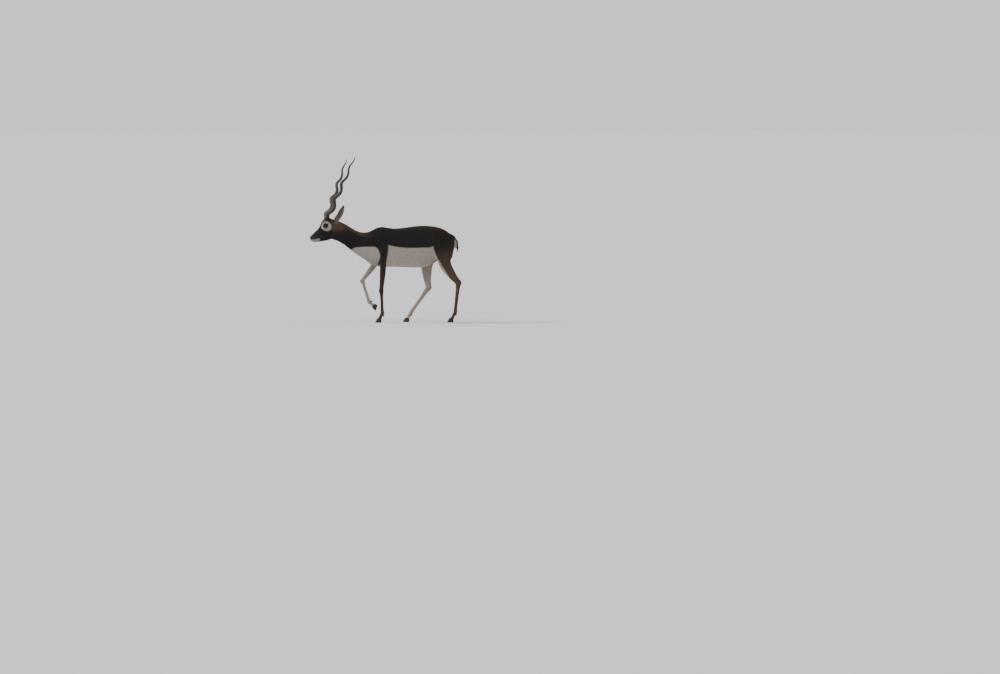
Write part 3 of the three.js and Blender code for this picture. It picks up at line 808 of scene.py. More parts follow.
def markings(points, normals, part, parts):
    """The colour of the coat and how bare the skin is, at each point."""
    x, y, z = points.T
    outward = np.where(y < 0, -1.0, 1.0) * normals[:, 1]
    uneven = wobble(points, 9.0)
    ragged = wobble(points + 40, 3.0)
    name = np.array(parts)[part]
    is_head = name == "head"
    is_neck = name == "neck"
    is_ear = np.char.startswith(name, "ear")
    is_tail = (name == "tail") & (line_distance(points, LINES["tail"]["points"]) < 21)
    is_fore = np.char.startswith(name, "leg_fore")
    is_hind = np.char.startswith(name, "leg_hind")

    top = smoothstep(0.55, 0.95, normals[:, 2] + 0.05 * ragged)
    colour = np.tile(BLACK, (len(points), 1))
    flank_brown = smoothstep(690, 800, z + 8 * uneven) * smoothstep(60, 300, x)
    colour = mix(colour, DARK_BROWN, 0.5 * flank_brown + 0.2 * smoothstep(0.2, 1, wobble(points, 60)))
    # A band of light brown along the top of the neck: brown hair, with a painted sheen of rim light along the
    # top line.
    above_neck = z - np.interp(x, [-425, -330, -215, -130], [790, 742, 680, 664])
    nape = smoothstep(28, 62, above_neck + 3 * uneven) * smoothstep(-110, -230, x)
    nape = np.maximum(nape, smoothstep(-300, -380, x) * smoothstep(750, 800, z))
    colour = mix(colour, NAPE_BROWN_AND_SHEEN, np.clip(0.8 * nape + 0.10 * uneven * nape, 0, 1))
    # Brown on the coat that faces upwards along the back: brownish hair, lightened as a painted sheen where the
    # top faces the light.
    back = top * (0.35 + 0.65 * smoothstep(180, 430, x))
    colour = mix(colour, BROWN, 0.8 * back)
    haunch = smoothstep(700, 500, z - 0.3 * (x - 480) + 10 * uneven) ** 1.5 * (x > 180)
    colour = mix(colour, HAUNCH_BROWN, np.clip(haunch + 0.1 * uneven * haunch, 0, 1))

    # White below the line along the side, and between the legs.
    line = np.interp(x, [p[0] for p in WHITE_LINE], [p[1] for p in WHITE_LINE])
    below = smoothstep(3.5, -3.5, z - line - 3.0 * ragged)
    on_foreleg = (x > -170) & (x < 60) & (z < 665)
    before = np.where(y < 0, along_edge(z, FORELEG_FRONT), along_edge(z, RAISED_FRONT))
    after = np.where(y < 0, along_edge(z, FORELEG_REAR), along_edge(z, RAISED_REAR))
    dark_leg = smoothstep(-3, 4, x - before + 2.5 * ragged) * smoothstep(3, -4, x - after + 2 * ragged)
    dark_leg = dark_leg * smoothstep(0.0, 0.35, outward + 0.08 * ragged) * on_foreleg
    dark_leg = dark_leg * smoothstep(24, 44, np.abs(y) + 2 * ragged)
    thigh_front = np.where(y < 0, along_edge(z, THIGH_FRONT), along_edge(z, THIGH_FRONT_RIGHT))
    thigh = smoothstep(-4, 5, x - thigh_front + 3 * ragged) * (x > 320)
    thigh = thigh * smoothstep(-0.15, 0.2, outward + 0.15 * normals[:, 0] + 0.06 * ragged)
    on_trunk = (name == "trunk") | (name == "tail")
    white = np.where(on_trunk | is_neck, below * (1 - np.clip(dark_leg + thigh, 0, 1)), 0.0)
    white = np.where(is_neck & (x < -292), 0.0, white)
    rump = smoothstep(34, 25, np.abs(y) - 0.1 * (650 - z) + 3 * ragged) * smoothstep(706, 684, z)
    rump = rump * smoothstep(572, 588, x + 1.1 * np.maximum(640 - z, 0))
    white = np.maximum(white, np.where(on_trunk, rump, 0))

    # Legs: dark outside, white inside and along the front edge.
    face = outward + 0.22 * normals[:, 0] + 0.07 * ragged
    dark_fore = np.where(y < 0, smoothstep(-0.30, -0.05, face + 0.3), smoothstep(-0.1, 0.3, face))
    dark_fore = dark_fore * np.where(z > 440, smoothstep(24, 44, np.abs(y) + 2 * ragged), 1)
    shoulder = np.maximum(dark_leg, smoothstep(490, 470, z) * dark_fore)
    dark_fore = np.where((z > 470) & (y < 0), shoulder, dark_fore)
    ahead, bone, along = bone_place(points, LEG_NAMES)
    cannon_front = 13.5 + 8 * smoothstep(0.2, 0.0, along)
    strip = np.where(bone == 1, 39.0, cannon_front) - ahead + 1.2 * ragged
    dark_hind = smoothstep(-0.12, 0.22, face + 0.05) * smoothstep(-2.5, 3.0, strip)
    dark_hind = np.where(z > 500, np.maximum(thigh, (1 - below) * (z > 610)), dark_hind)
    white = np.where(is_fore, 1 - dark_fore, white)
    white = np.where(is_hind, 1 - dark_hind, white)
    low = smoothstep(300, 200, z)
    colour = mix(colour, BROWN * 0.8, np.clip(low * 0.85 + 0.12 * uneven * low, 0, 1) * is_fore)
    colour = mix(colour, FORELEG_BROWN, 0.8 * smoothstep(610, 470, z) * is_fore * (1 - low))
    mottled = smoothstep(0.2, 0.8, wobble(points, 11)) * smoothstep(460, 400, z) * smoothstep(160, 240, z)
    colour = mix(colour, BROWN, 0.5 * mottled * is_fore)
    # Painted shade: the hind legs' coat turns dark brown where it faces backwards, above the hocks.
    rear_shade = smoothstep(0.6, 0.95, normals[:, 0]) * smoothstep(260, 320, z)
    colour = mix(colour, DARK_BROWN, np.clip(0.7 * rear_shade, 0, 1) * is_hind)
    foot = smoothstep(70, 45, z) * (is_fore | is_hind)
    white = np.clip(white + 0.35 * foot * smoothstep(0.2, -0.2, outward), 0, 1)

    # Tail: dark above, white below.
    under, _, _ = bone_place(points, ["tail"])
    white = np.where(is_tail, smoothstep(7, 11, under + ragged), white)
    # Painted shade: the white on the inner sides of the legs, below the body, is greyed towards a darker white.
    inner_leg_shade = (is_fore | is_hind) * smoothstep(-0.1, -0.6, outward) * smoothstep(620, 480, z)
    coat_white = mix(np.tile(WHITE, (len(points), 1)), LEG_WHITE_IN_SHADE, inner_leg_shade) * (1 + 0.05 * uneven)[:, None]
    colour = colour + (coat_white - colour) * np.clip(white, 0, 1)[:, None]

    # Head: dark, with a pale ring round the eye, a white chin and pale lips.
    bare = np.zeros(len(points))
    distance, outside, around = eye_place(points)
    head_colour = np.tile(BLACK, (len(points), 1))
    crown = smoothstep(-545, -500, x) * smoothstep(790, 850, z)
    head_colour = mix(head_colour, BROWN * 0.8, np.clip(0.8 * crown + 0.15 * uneven * crown, 0, 1))
    cheek = smoothstep(44, 60, distance) * smoothstep(-480, -430, x) * smoothstep(740, 790, z)
    head_colour = mix(head_colour, BROWN * 0.7, 0.8 * cheek)
    head_colour = mix(head_colour, colour, smoothstep(-490, -440, x))
    # Painted sheen: the dark sides of the muzzle turn grey where they face sideways.
    muzzle = smoothstep(-556, -590, x) * smoothstep(731, 716, z) * smoothstep(0.4, 0.8, np.abs(normals[:, 1]))
    head_colour = mix(head_colour, MUZZLE_SHEEN, 0.85 * muzzle)
    bridge = smoothstep(12, 2, near_points(x, z, BRIDGE) + 2 * ragged)
    head_colour = mix(head_colour, BROWN * 0.9, 0.32 * bridge * smoothstep(8, 16, np.abs(y)))
    low_rear = smoothstep(-0.2, -1.0, np.sin(around + 0.4))
    ring_reach = 40.5 + 2.5 * np.cos(around - 0.2) + 8.0 * low_rear + 1.8 * ragged
    ring = smoothstep(ring_reach + 3.5, ring_reach - 4.5, distance) * smoothstep(20, 30, np.abs(y))
    notch = near_points(x, z, GLAND)
    ring = ring * smoothstep(6.5, 10.5, notch + 1.0 * ragged)
    ring_colour = mix(np.tile(RING_GREY, (len(points), 1)), WHITE, smoothstep(-522, -542, x))
    ring_colour = mix(ring_colour, BROWN, 0.35 * smoothstep(0.45, 1.0, np.sin(around + 0.4)))
    head_colour = mix(head_colour, ring_colour, ring)
    mouth = np.interp(x, [p[0] for p in MOUTH], [p[1] for p in MOUTH])
    chin = smoothstep(1.5, -1.5, z - mouth + 1.0 * ragged) * smoothstep(-552, -572, x + 4 * uneven)
    lip = smoothstep(6, 3, np.abs(z - mouth) + ragged) * smoothstep(-560, -575, x) * (z > mouth) * 0.55
    corner = smoothstep(14, 5, np.hypot((x + 568) * 0.8, z - 697) + 1.5 * ragged)
    head_colour = mix(head_colour, WHITE * 0.85, np.clip(np.maximum(np.maximum(chin, lip), corner), 0, 1))
    rim = np.where(np.sin(around) > 0, 9.8, 9.2)
    lid = smoothstep(rim + 1.6, rim - 2.0, outside + 0.8 * ragged) * (distance < 31)
    gland = smoothstep(8.5, 5.5, notch + 0.8 * ragged) * (np.abs(y) > 20)
    nostril = np.sqrt((x + 631) ** 2 + (np.abs(y) - 14) ** 2 + (z - 715) ** 2)
    nose = np.maximum(smoothstep(7.5, 5.0, nostril + 0.8 * ragged), smoothstep(5, 3, np.abs(y)) * (x < -634))
    nose = nose * smoothstep(699, 703, z)
    dark_tip = smoothstep(-620, -629, x + 1.2 * ragged) * smoothstep(699, 703, z)
    head_colour = mix(head_colour, BARE_SKIN, np.clip(lid + gland + nose + dark_tip, 0, 1))
    bare = np.where(is_head, np.clip(nose + (distance < 26) * smoothstep(3.0, 1.5, outside), 0, 1), bare)
    colour = np.where(is_head[:, None], head_colour, colour)

    # Ears: greyish inside with a dark streak, dark outside and at the tip.
    for word in SIDES:
        here = name == "ear_" + word
        root, tip = (np.array(p, float) for p in LINES["ear_" + word]["points"])
        along = (points - root) @ (tip - root) / (tip - root).dot(tip - root)
        opens = unit(np.array(EAR_OPENS[word]))
        inner = smoothstep(-0.1, 0.35, normals @ opens)
        across = np.cross(unit(tip - root), opens)
        side_way = ((points - root) @ across) * SIDES[word] / 18
        ear_colour = mix(np.tile(BROWN * 0.8, (len(points), 1)), EAR_INSIDE, inner)
        ear_colour = mix(ear_colour, RING_GREY, 0.55 * smoothstep(0.34, 0.05, along) * inner)
        streak = smoothstep(0.5, 0.15, np.abs(side_way - 0.35) + 0.1 * ragged) * smoothstep(0.15, 0.4, along)
        ear_colour = mix(ear_colour, DARK_BROWN, 0.75 * streak * inner)
        ear_colour = mix(ear_colour, BLACK, np.clip(smoothstep(0.80, 0.95, along), 0, 1))
        ear_colour = mix(ear_colour, head_colour, 0.75 * smoothstep(0.12, 0.0, along + 0.02 * ragged))
        colour = np.where(here[:, None], ear_colour, colour)
    return np.clip(colour, 0.002, 1), np.clip(bare, 0, 1)


def line_distance(points, line):
    """How far each point is from a line of [x, y, z] points."""
    nearest = np.full(len(points), np.inf)
    for start, end in zip(np.array(line[:-1], float), np.array(line[1:], float)):
        way = end - start
        share = np.clip((points - start) @ way / way.dot(way), 0, 1)
        nearest = np.minimum(nearest, np.linalg.norm(points - start - share[:, None] * way, axis=1))
    return nearest


def bone_place(points, names):
    """How far each point lies ahead of the nearest bone of these limbs, that bone's number from the top, and
    how far along it the point is."""
    best = np.full(len(points), np.inf)
    ahead, bone, along = (np.zeros(len(points)) for _ in range(3))
    for name in names:
        joints = np.array(LINES[name]["points"], float)
        for i, (start, end) in enumerate(zip(joints, joints[1:])):
            way = end - start
            share = np.clip((points - start) @ way / way.dot(way), 0, 1)
            offset = points - start - share[:, None] * way
            distance = np.linalg.norm(offset, axis=1)
            forward = unit(np.array([way[2], 0, -way[0]]))
            nearer = distance < best
            best[nearer] = distance[nearer]
            ahead[nearer] = offset[nearer] @ forward
            bone[nearer] = i
            along[nearer] = share[nearer]
    return ahead, bone, along


def along_edge(z, edge):
    """Where an edge of [z, x] points lies at each height."""
    return np.interp(z, [p[0] for p in edge], [p[1] for p in edge])


def near_points(x, z, line):
    axes = [x, None, z]
    return near_line(axes, line)


def coat_uv(points, part, parts):
    """An unwrap of the skin: each part unrolled round its own line, in a tile of its own."""
    uv = np.zeros((len(points), 2))
    for index, name in enumerate(parts):
        here = part == index
        if not here.any():
            continue
        line = np.array(LINES[name]["points"], float)
        best = np.full(here.sum(), np.inf)
        length = np.zeros(here.sum())
        angle = np.zeros(here.sum())
        total = 0.0
        for i, (a, b) in enumerate(zip(line, line[1:])):
            way = b - a
            size = np.linalg.norm(way)
            share = (points[here] - a) @ way / size**2
            share = np.clip(share, -9 if i == 0 else 0, 9 if i == len(line) - 2 else 1)
            offset = points[here] - a - share[:, None] * way
            distance = np.linalg.norm(offset, axis=1)
            across = unit(np.array([0, 1.0, 0]) - way / size * (way[1] / size))
            up = np.cross(way / size, across)
            nearer = distance < best
            best[nearer] = distance[nearer]
            length[nearer] = total + share[nearer] * size
            angle[nearer] = np.arctan2(offset[nearer] @ up, offset[nearer] @ across)
            total += size
        reach = 90 if name in ("trunk", "head") else 40
        uv[here, 0] = angle / (2 * math.pi) + 0.5
        uv[here, 1] = np.clip((length + reach) / (total + 2 * reach), 0, 1)
    return uv



class Skin:
    """The skin's mesh with what the coat needs to know of it."""

    def __init__(self):
        self.lie = Lie()
        self.points, self.triangles = whole_skin()
        self.normals, faces = vertex_normals(self.points, self.triangles)
        self.area = np.linalg.norm(faces, axis=1) / 2
        self.centres = self.points[self.triangles].mean(axis=1)
        self.part, _, _ = self.lie.read(self.centres)
        point_part, _, _ = self.lie.read(self.points)
        self.colour, self.bare = markings(self.points, self.normals, point_part, self.lie.parts)
        self.uv = self.unwrapped()

    def unwrapped(self):
        """Places on the unwrap for the three corners of each face, which stay in one turn and one tile."""
        corners = self.points[self.triangles].reshape(-1, 3)
        part = np.repeat(self.part, 3)
        uv = coat_uv(corners, part, self.lie.parts).reshape(-1, 3, 2)
        uv[:, :, 0] = one_turn(uv[:, :, 0])
        tiles = np.array([UV_TILES[name] for name in self.lie.parts])[self.part]
        inner = np.zeros(len(self.part))
        ears = np.char.startswith(np.array(self.lie.parts)[self.part], "ear")
        for word in SIDES:
            root, tip = (np.array(p, float) for p in LINES["ear_" + word]["points"])
            here = np.array(self.lie.parts)[self.part] == "ear_" + word
            normals = unit(self.normals[self.triangles[here]].sum(axis=1))
            inner[here] = normals @ unit(np.array(EAR_OPENS[word])) > 0
        uv[:, :, 0] *= UV_WRAP
        uv[:, :, 0] = np.where(ears[:, None], uv[:, :, 0] * 0.5 + inner[:, None] * 0.5, uv[:, :, 0])
        return tiles[:, None, :2] + np.clip(uv, 0, 1) * tiles[:, None, 2:]

    def piece(self, material):
        mesh = mesh_of("skin", self.points, self.triangles)
        set_uv(mesh, self.uv.reshape(-1, 2))
        set_colour(mesh, self.colour)
        bare = mesh.attributes.new("bare", "FLOAT", "POINT")
        bare.data.foreach_set("value", self.bare.astype(np.float32))
        return piece_of("skin", mesh, material)


def set_uv(mesh, uv):
    layer = mesh.uv_layers.new(name="OFBake")
    layer.data.foreach_set("uv", uv.astype(np.float32).ravel())


def set_colour(mesh, colour):
    layer = mesh.color_attributes.new("coat", "FLOAT_COLOR", "POINT")
    alpha = np.ones((len(colour), 1))
    layer.data.foreach_set("color", np.concatenate([colour, alpha], axis=1).astype(np.float32).ravel())


def piece_of(name, mesh, material):
    mesh.name = name
    mesh.materials.append(material)
    piece = bpy.data.objects.new(name, mesh)
    bpy.context.scene.collection.objects.link(piece)
    return piece


# Tufts per square millimetre of each part.
DENSITY = {"head": 0.62, "neck": 0.31, "trunk": 0.25, "tail": 0.7, "leg": 0.33, "ear": 0.55}
TUFT_WIDTH_TO_LENGTH = 0.11


def tuft_field(skin):
    """Roots, normals, directions, lengths, colours, places on the unwrap and parts of all tufts."""
    density = np.array([DENSITY[name.split("_")[0]] for name in skin.lie.parts])[skin.part]
    muzzle = smoothstep(-560, -600, skin.centres[:, 0])
    feet = smoothstep(300, 120, skin.centres[:, 2])
    density = density * (1 + 0.5 * muzzle + 0.35 * feet)
    expected = skin.area * density * TUFTS_SHARE
    running = np.cumsum(expected)
    count = int(running[-1])
    places = (np.arange(count) + random.random(count)) * running[-1] / count
    face = np.minimum(np.searchsorted(running, places), len(expected) - 1)
    u, v = random.random(count), random.random(count)
    over = u + v > 1
    u[over], v[over] = 1 - u[over], 1 - v[over]
    weights = np.stack([1 - u - v, u, v], axis=1)
    corners = skin.triangles[face]
    roots = np.einsum("ij,ijk->ik", weights, skin.points[corners])
    normals = unit(np.einsum("ij,ijk->ik", weights, skin.normals[corners]))
    uv = np.einsum("ij,ijk->ik", weights, skin.uv[face])
    _, direction, length = skin.lie.read(roots)
    part = skin.part[face]
    colour, bare = markings(roots, normals, part, skin.lie.parts)
    distance, outside, _ = eye_place(roots)
    mouth = near_points(roots[:, 0], roots[:, 2], MOUTH)
    gland = near_points(roots[:, 0], roots[:, 2], GLAND)
    in_mouth = (mouth < 1.8) & (roots[:, 0] < -566)
    in_gland = (gland < 2.6) & (np.abs(roots[:, 1]) > 20)
    in_eye = (distance < 24) & (outside < 1.6)
    keep = (bare < 0.4) & ~in_mouth & ~in_gland & ~in_eye & (roots[:, 2] > 27)
    near_eye = smoothstep(20, 40, distance)
    length = length * (0.45 + 0.55 * near_eye)
    fields = [roots, normals, direction, length, colour, uv, part]
    return [field[keep] for field in fields]


def tuft_meshes(roots, normals, direction, length, colour, uv):
    """Thin spikes that lie along the body, with three sides and a point."""
    count = len(roots)
    uneven = random.normal(0, 1, (count, 3))
    lie = direction + 0.16 * uneven
    lie = unit(lie - normals * np.einsum("ij,ij->i", lie, normals)[:, None])
    length = length * random.uniform(0.72, 1.2, count)
    width = (0.42 + length * TUFT_WIDTH_TO_LENGTH * 0.48) * random.uniform(0.8, 1.25, count)
    lift = np.minimum(coat_depth(roots[:, 0], roots[:, 2]), 0.24 * length)
    lift = lift * random.uniform(0.35, 1.0, count)
    across = np.cross(normals, lie)
    base = roots - normals * 0.25
    left = base + across * (width / 2)[:, None]
    right = base - across * (width / 2)[:, None]
    ridge = roots + normals * (0.28 + 0.3 * width)[:, None] + lie * (length * 0.10)[:, None]
    bend = across * (random.normal(0, 0.05, count) * length)[:, None]
    tip = roots + lie * length[:, None] + normals * lift[:, None] + bend
    points = np.stack([left, right, ridge, tip], axis=1).reshape(-1, 3)
    pattern = np.array([(0, 2, 3), (2, 1, 3), (1, 0, 3), (0, 1, 2)])
    faces = (np.arange(count)[:, None, None] * 4 + pattern).reshape(-1, 3)
    shade = random.uniform(0.78, 1.22, count)[:, None]
    body = colour * shade
    colours = np.stack([body * 0.78, body * 0.78, body, np.minimum(body * 1.15, 1)], axis=1).reshape(-1, 3)
    turn = random.uniform(0, 2 * math.pi, count)
    patch = []
    for step in range(4):
        angle = turn + step * math.pi / 2
        patch.append(uv + 0.0015 * np.stack([np.cos(angle), np.sin(angle)], axis=1))
    patch = np.clip(np.stack(patch, axis=1), 0, 1)
    face_uv = patch[:, pattern].reshape(-1, 2)
    return points, faces, colours, face_uv


def coat_pieces(skin, material):
    """The coat as named pieces, each of less than 200,000 triangles."""
    roots, normals, direction, length, colour, uv, part = tuft_field(skin)
    names = np.array(skin.lie.parts)[part]
    x, y, z = roots.T
    left = y < 0
    trunk = names == "trunk"
    groups = {
        "coat_head": names == "head",
        "coat_ears_tail": np.char.startswith(names, "ear") | (names == "tail"),
        "coat_neck": names == "neck",
        "coat_forelegs": np.char.startswith(names, "leg_fore"),
        "coat_hindleg_left": names == "leg_hind_left",
        "coat_hindleg_right": names == "leg_hind_right",
        "coat_shoulder_left": trunk & left & (x < 160),
        "coat_shoulder_right": trunk & ~left & (x < 160),
        "coat_loin_left": trunk & left & (x >= 160) & (x < 420),
        "coat_loin_right": trunk & ~left & (x >= 160) & (x < 420),
        "coat_rump": trunk & (x >= 420),
    }
    pieces = []
    for name, here in groups.items():
        points, faces, colours, face_uv = tuft_meshes(
            roots[here], normals[here], direction[here], length[here], colour[here], uv[here]
        )
        mesh = mesh_of(name, points, faces)
        set_uv(mesh, face_uv)
        set_colour(mesh, colours)
        pieces.append(piece_of(name, mesh, material))
    return pieces


def new_material(name, colour, roughness):
    """A material, its nodes, its links and its shader."""
    material = bpy.data.materials.new(name)
    material.use_nodes = True
    nodes, links = material.node_tree.nodes, material.node_tree.links
    shader = nodes["Principled BSDF"]
    shader.inputs["Base Color"].default_value = (*colour, 1)
    shader.inputs["Roughness"].default_value = roughness
    return material, nodes, links, shader


def add_node(nodes, kind, **settings):
    node = nodes.new(kind)
    for name, value in settings.items():
        if hasattr(node, name):
            setattr(node, name, value)
        else:
            node.inputs[name.replace("_", " ")].default_value = value
    return node


def bump(nodes, links, shader, height, strength, distance):
    node = nodes.new("ShaderNodeBump")
    node.inputs["Strength"].default_value = strength
    node.inputs["Distance"].default_value = distance
    links.new(height, node.inputs["Height"])
    links.new(node.outputs["Normal"], shader.inputs["Normal"])


def shaded(nodes, links, colour, amount, low, high):
    """A colour made darker and lighter by a number from 0 to 1."""
    spread = nodes.new("ShaderNodeMapRange")
    spread.inputs["To Min"].default_value = low
    spread.inputs["To Max"].default_value = high
    links.new(amount, spread.inputs["Value"])
    scale = nodes.new("ShaderNodeVectorMath")
    scale.operation = "SCALE"
    links.new(colour, scale.inputs[0])
    links.new(spread.outputs["Result"], scale.inputs["Scale"])
    return scale.outputs["Vector"]


def skin_material():
    material, nodes, links, shader = new_material("skin", (0.1, 0.1, 0.1), 0.75)
    colour = add_node(nodes, "ShaderNodeAttribute", attribute_name="coat")
    bare = add_node(nodes, "ShaderNodeAttribute", attribute_name="bare")
    place = add_node(nodes, "ShaderNodeUVMap", uv_map="OFBake")
    stretch = nodes.new("ShaderNodeMapping")
    stretch.inputs["Scale"].default_value = (900, 90, 1)
    links.new(place.outputs["UV"], stretch.inputs["Vector"])
    strands = add_node(nodes, "ShaderNodeTexNoise", Scale=1.0, Detail=3.0, Roughness=0.6)
    links.new(stretch.outputs["Vector"], strands.inputs["Vector"])
    position = nodes.new("ShaderNodeTexCoord")
    grain = add_node(nodes, "ShaderNodeTexNoise", Scale=420.0, Detail=2.0)
    links.new(position.outputs["Object"], grain.inputs["Vector"])
    height = nodes.new("ShaderNodeMix")
    links.new(bare.outputs["Fac"], height.inputs[0])
    links.new(strands.outputs["Fac"], height.inputs[2])
    links.new(grain.outputs["Fac"], height.inputs[3])
    tinted = shaded(nodes, links, colour.outputs["Color"], strands.outputs["Fac"], 0.55, 1.3)
    links.new(tinted, shader.inputs["Base Color"])
    rough = nodes.new("ShaderNodeMapRange")
    rough.inputs["To Min"].default_value = 0.72
    rough.inputs["To Max"].default_value = 0.42
    links.new(bare.outputs["Fac"], rough.inputs["Value"])
    links.new(rough.outputs["Result"], shader.inputs["Roughness"])
    bump(nodes, links, shader, height.outputs[0], 0.7, 0.0006)
    return material


def coat_material():
    material, nodes, links, shader = new_material("coat", (0.1, 0.1, 0.1), 0.64)
    colour = add_node(nodes, "ShaderNodeAttribute", attribute_name="coat")
    position = nodes.new("ShaderNodeTexCoord")
    patches = add_node(nodes, "ShaderNodeTexNoise", Scale=55.0, Detail=3.0)
    links.new(position.outputs["Object"], patches.inputs["Vector"])
    tinted = shaded(nodes, links, colour.outputs["Color"], patches.outputs["Fac"], 0.75, 1.25)
    links.new(tinted, shader.inputs["Base Color"])
    shader.inputs["Specular IOR Level"].default_value = 0.32
    shader.inputs["Sheen Weight"].default_value = 0.03
    shader.inputs["Sheen Roughness"].default_value = 0.4
    return material


def horn_material():
    material, nodes, links, shader = new_material("horn", (0.04, 0.03, 0.02), 0.42)
    shader.inputs["Specular IOR Level"].default_value = 0.32
    colour = add_node(nodes, "ShaderNodeAttribute", attribute_name="coat")
    position = nodes.new("ShaderNodeTexCoord")
    grain = add_node(nodes, "ShaderNodeTexNoise", Scale=160.0, Detail=6.0, Roughness=0.65)
    links.new(position.outputs["Object"], grain.inputs["Vector"])
    tinted = shaded(nodes, links, colour.outputs["Color"], grain.outputs["Fac"], 0.45, 1.5)
    links.new(tinted, shader.inputs["Base Color"])
    rough = nodes.new("ShaderNodeMapRange")
    rough.inputs["To Min"].default_value = 0.3
    rough.inputs["To Max"].default_value = 0.6
    links.new(grain.outputs["Fac"], rough.inputs["Value"])
    links.new(rough.outputs["Result"], shader.inputs["Roughness"])
    fine = add_node(nodes, "ShaderNodeTexNoise", Scale=620.0, Detail=4.0)
    links.new(position.outputs["Object"], fine.inputs["Vector"])
    bump(nodes, links, shader, fine.outputs["Fac"], 0.5, 0.0006)
    return material


def hoof_material():
    material, nodes, links, shader = new_material("hoof", (0.014, 0.011, 0.009), 0.48)
    shader.inputs["Specular IOR Level"].default_value = 0.32
    position = nodes.new("ShaderNodeTexCoord")
    lines = add_node(nodes, "ShaderNodeTexWave", bands_direction="Z", Scale=95.0, Distortion=2.5, Detail=3.0)
    links.new(position.outputs["Object"], lines.inputs["Vector"])
    grain = add_node(nodes, "ShaderNodeTexNoise", Scale=260.0, Detail=5.0)
    links.new(position.outputs["Object"], grain.inputs["Vector"])
    ramp = nodes.new("ShaderNodeValToRGB")
    ramp.color_ramp.elements[0].position = 0.35
    ramp.color_ramp.elements[1].position = 0.75
    ramp.color_ramp.elements[0].color = (0.008, 0.0065, 0.0055, 1)
    ramp.color_ramp.elements[1].color = (0.045, 0.034, 0.025, 1)
    links.new(grain.outputs["Fac"], ramp.inputs["Fac"])
    links.new(ramp.outputs["Color"], shader.inputs["Base Color"])
    bump(nodes, links, shader, lines.outputs["Fac"], 0.35, 0.0005)
    return material


def eye_material():
    material, nodes, links, shader = new_material("eye", (0.01, 0.008, 0.006), 0.12)
    colour = add_node(nodes, "ShaderNodeAttribute", attribute_name="coat")
    position = nodes.new("ShaderNodeTexCoord")
    fleck = add_node(nodes, "ShaderNodeTexNoise", Scale=900.0, Detail=3.0)
    links.new(position.outputs["Object"], fleck.inputs["Vector"])
    tinted = shaded(nodes, links, colour.outputs["Color"], fleck.outputs["Fac"], 0.7, 1.3)
    links.new(tinted, shader.inputs["Base Color"])
    shader.inputs["Coat Weight"].default_value = 0.4
    shader.inputs["Coat Roughness"].default_value = 0.02
    shader.inputs["Specular IOR Level"].default_value = 0.1
    return material


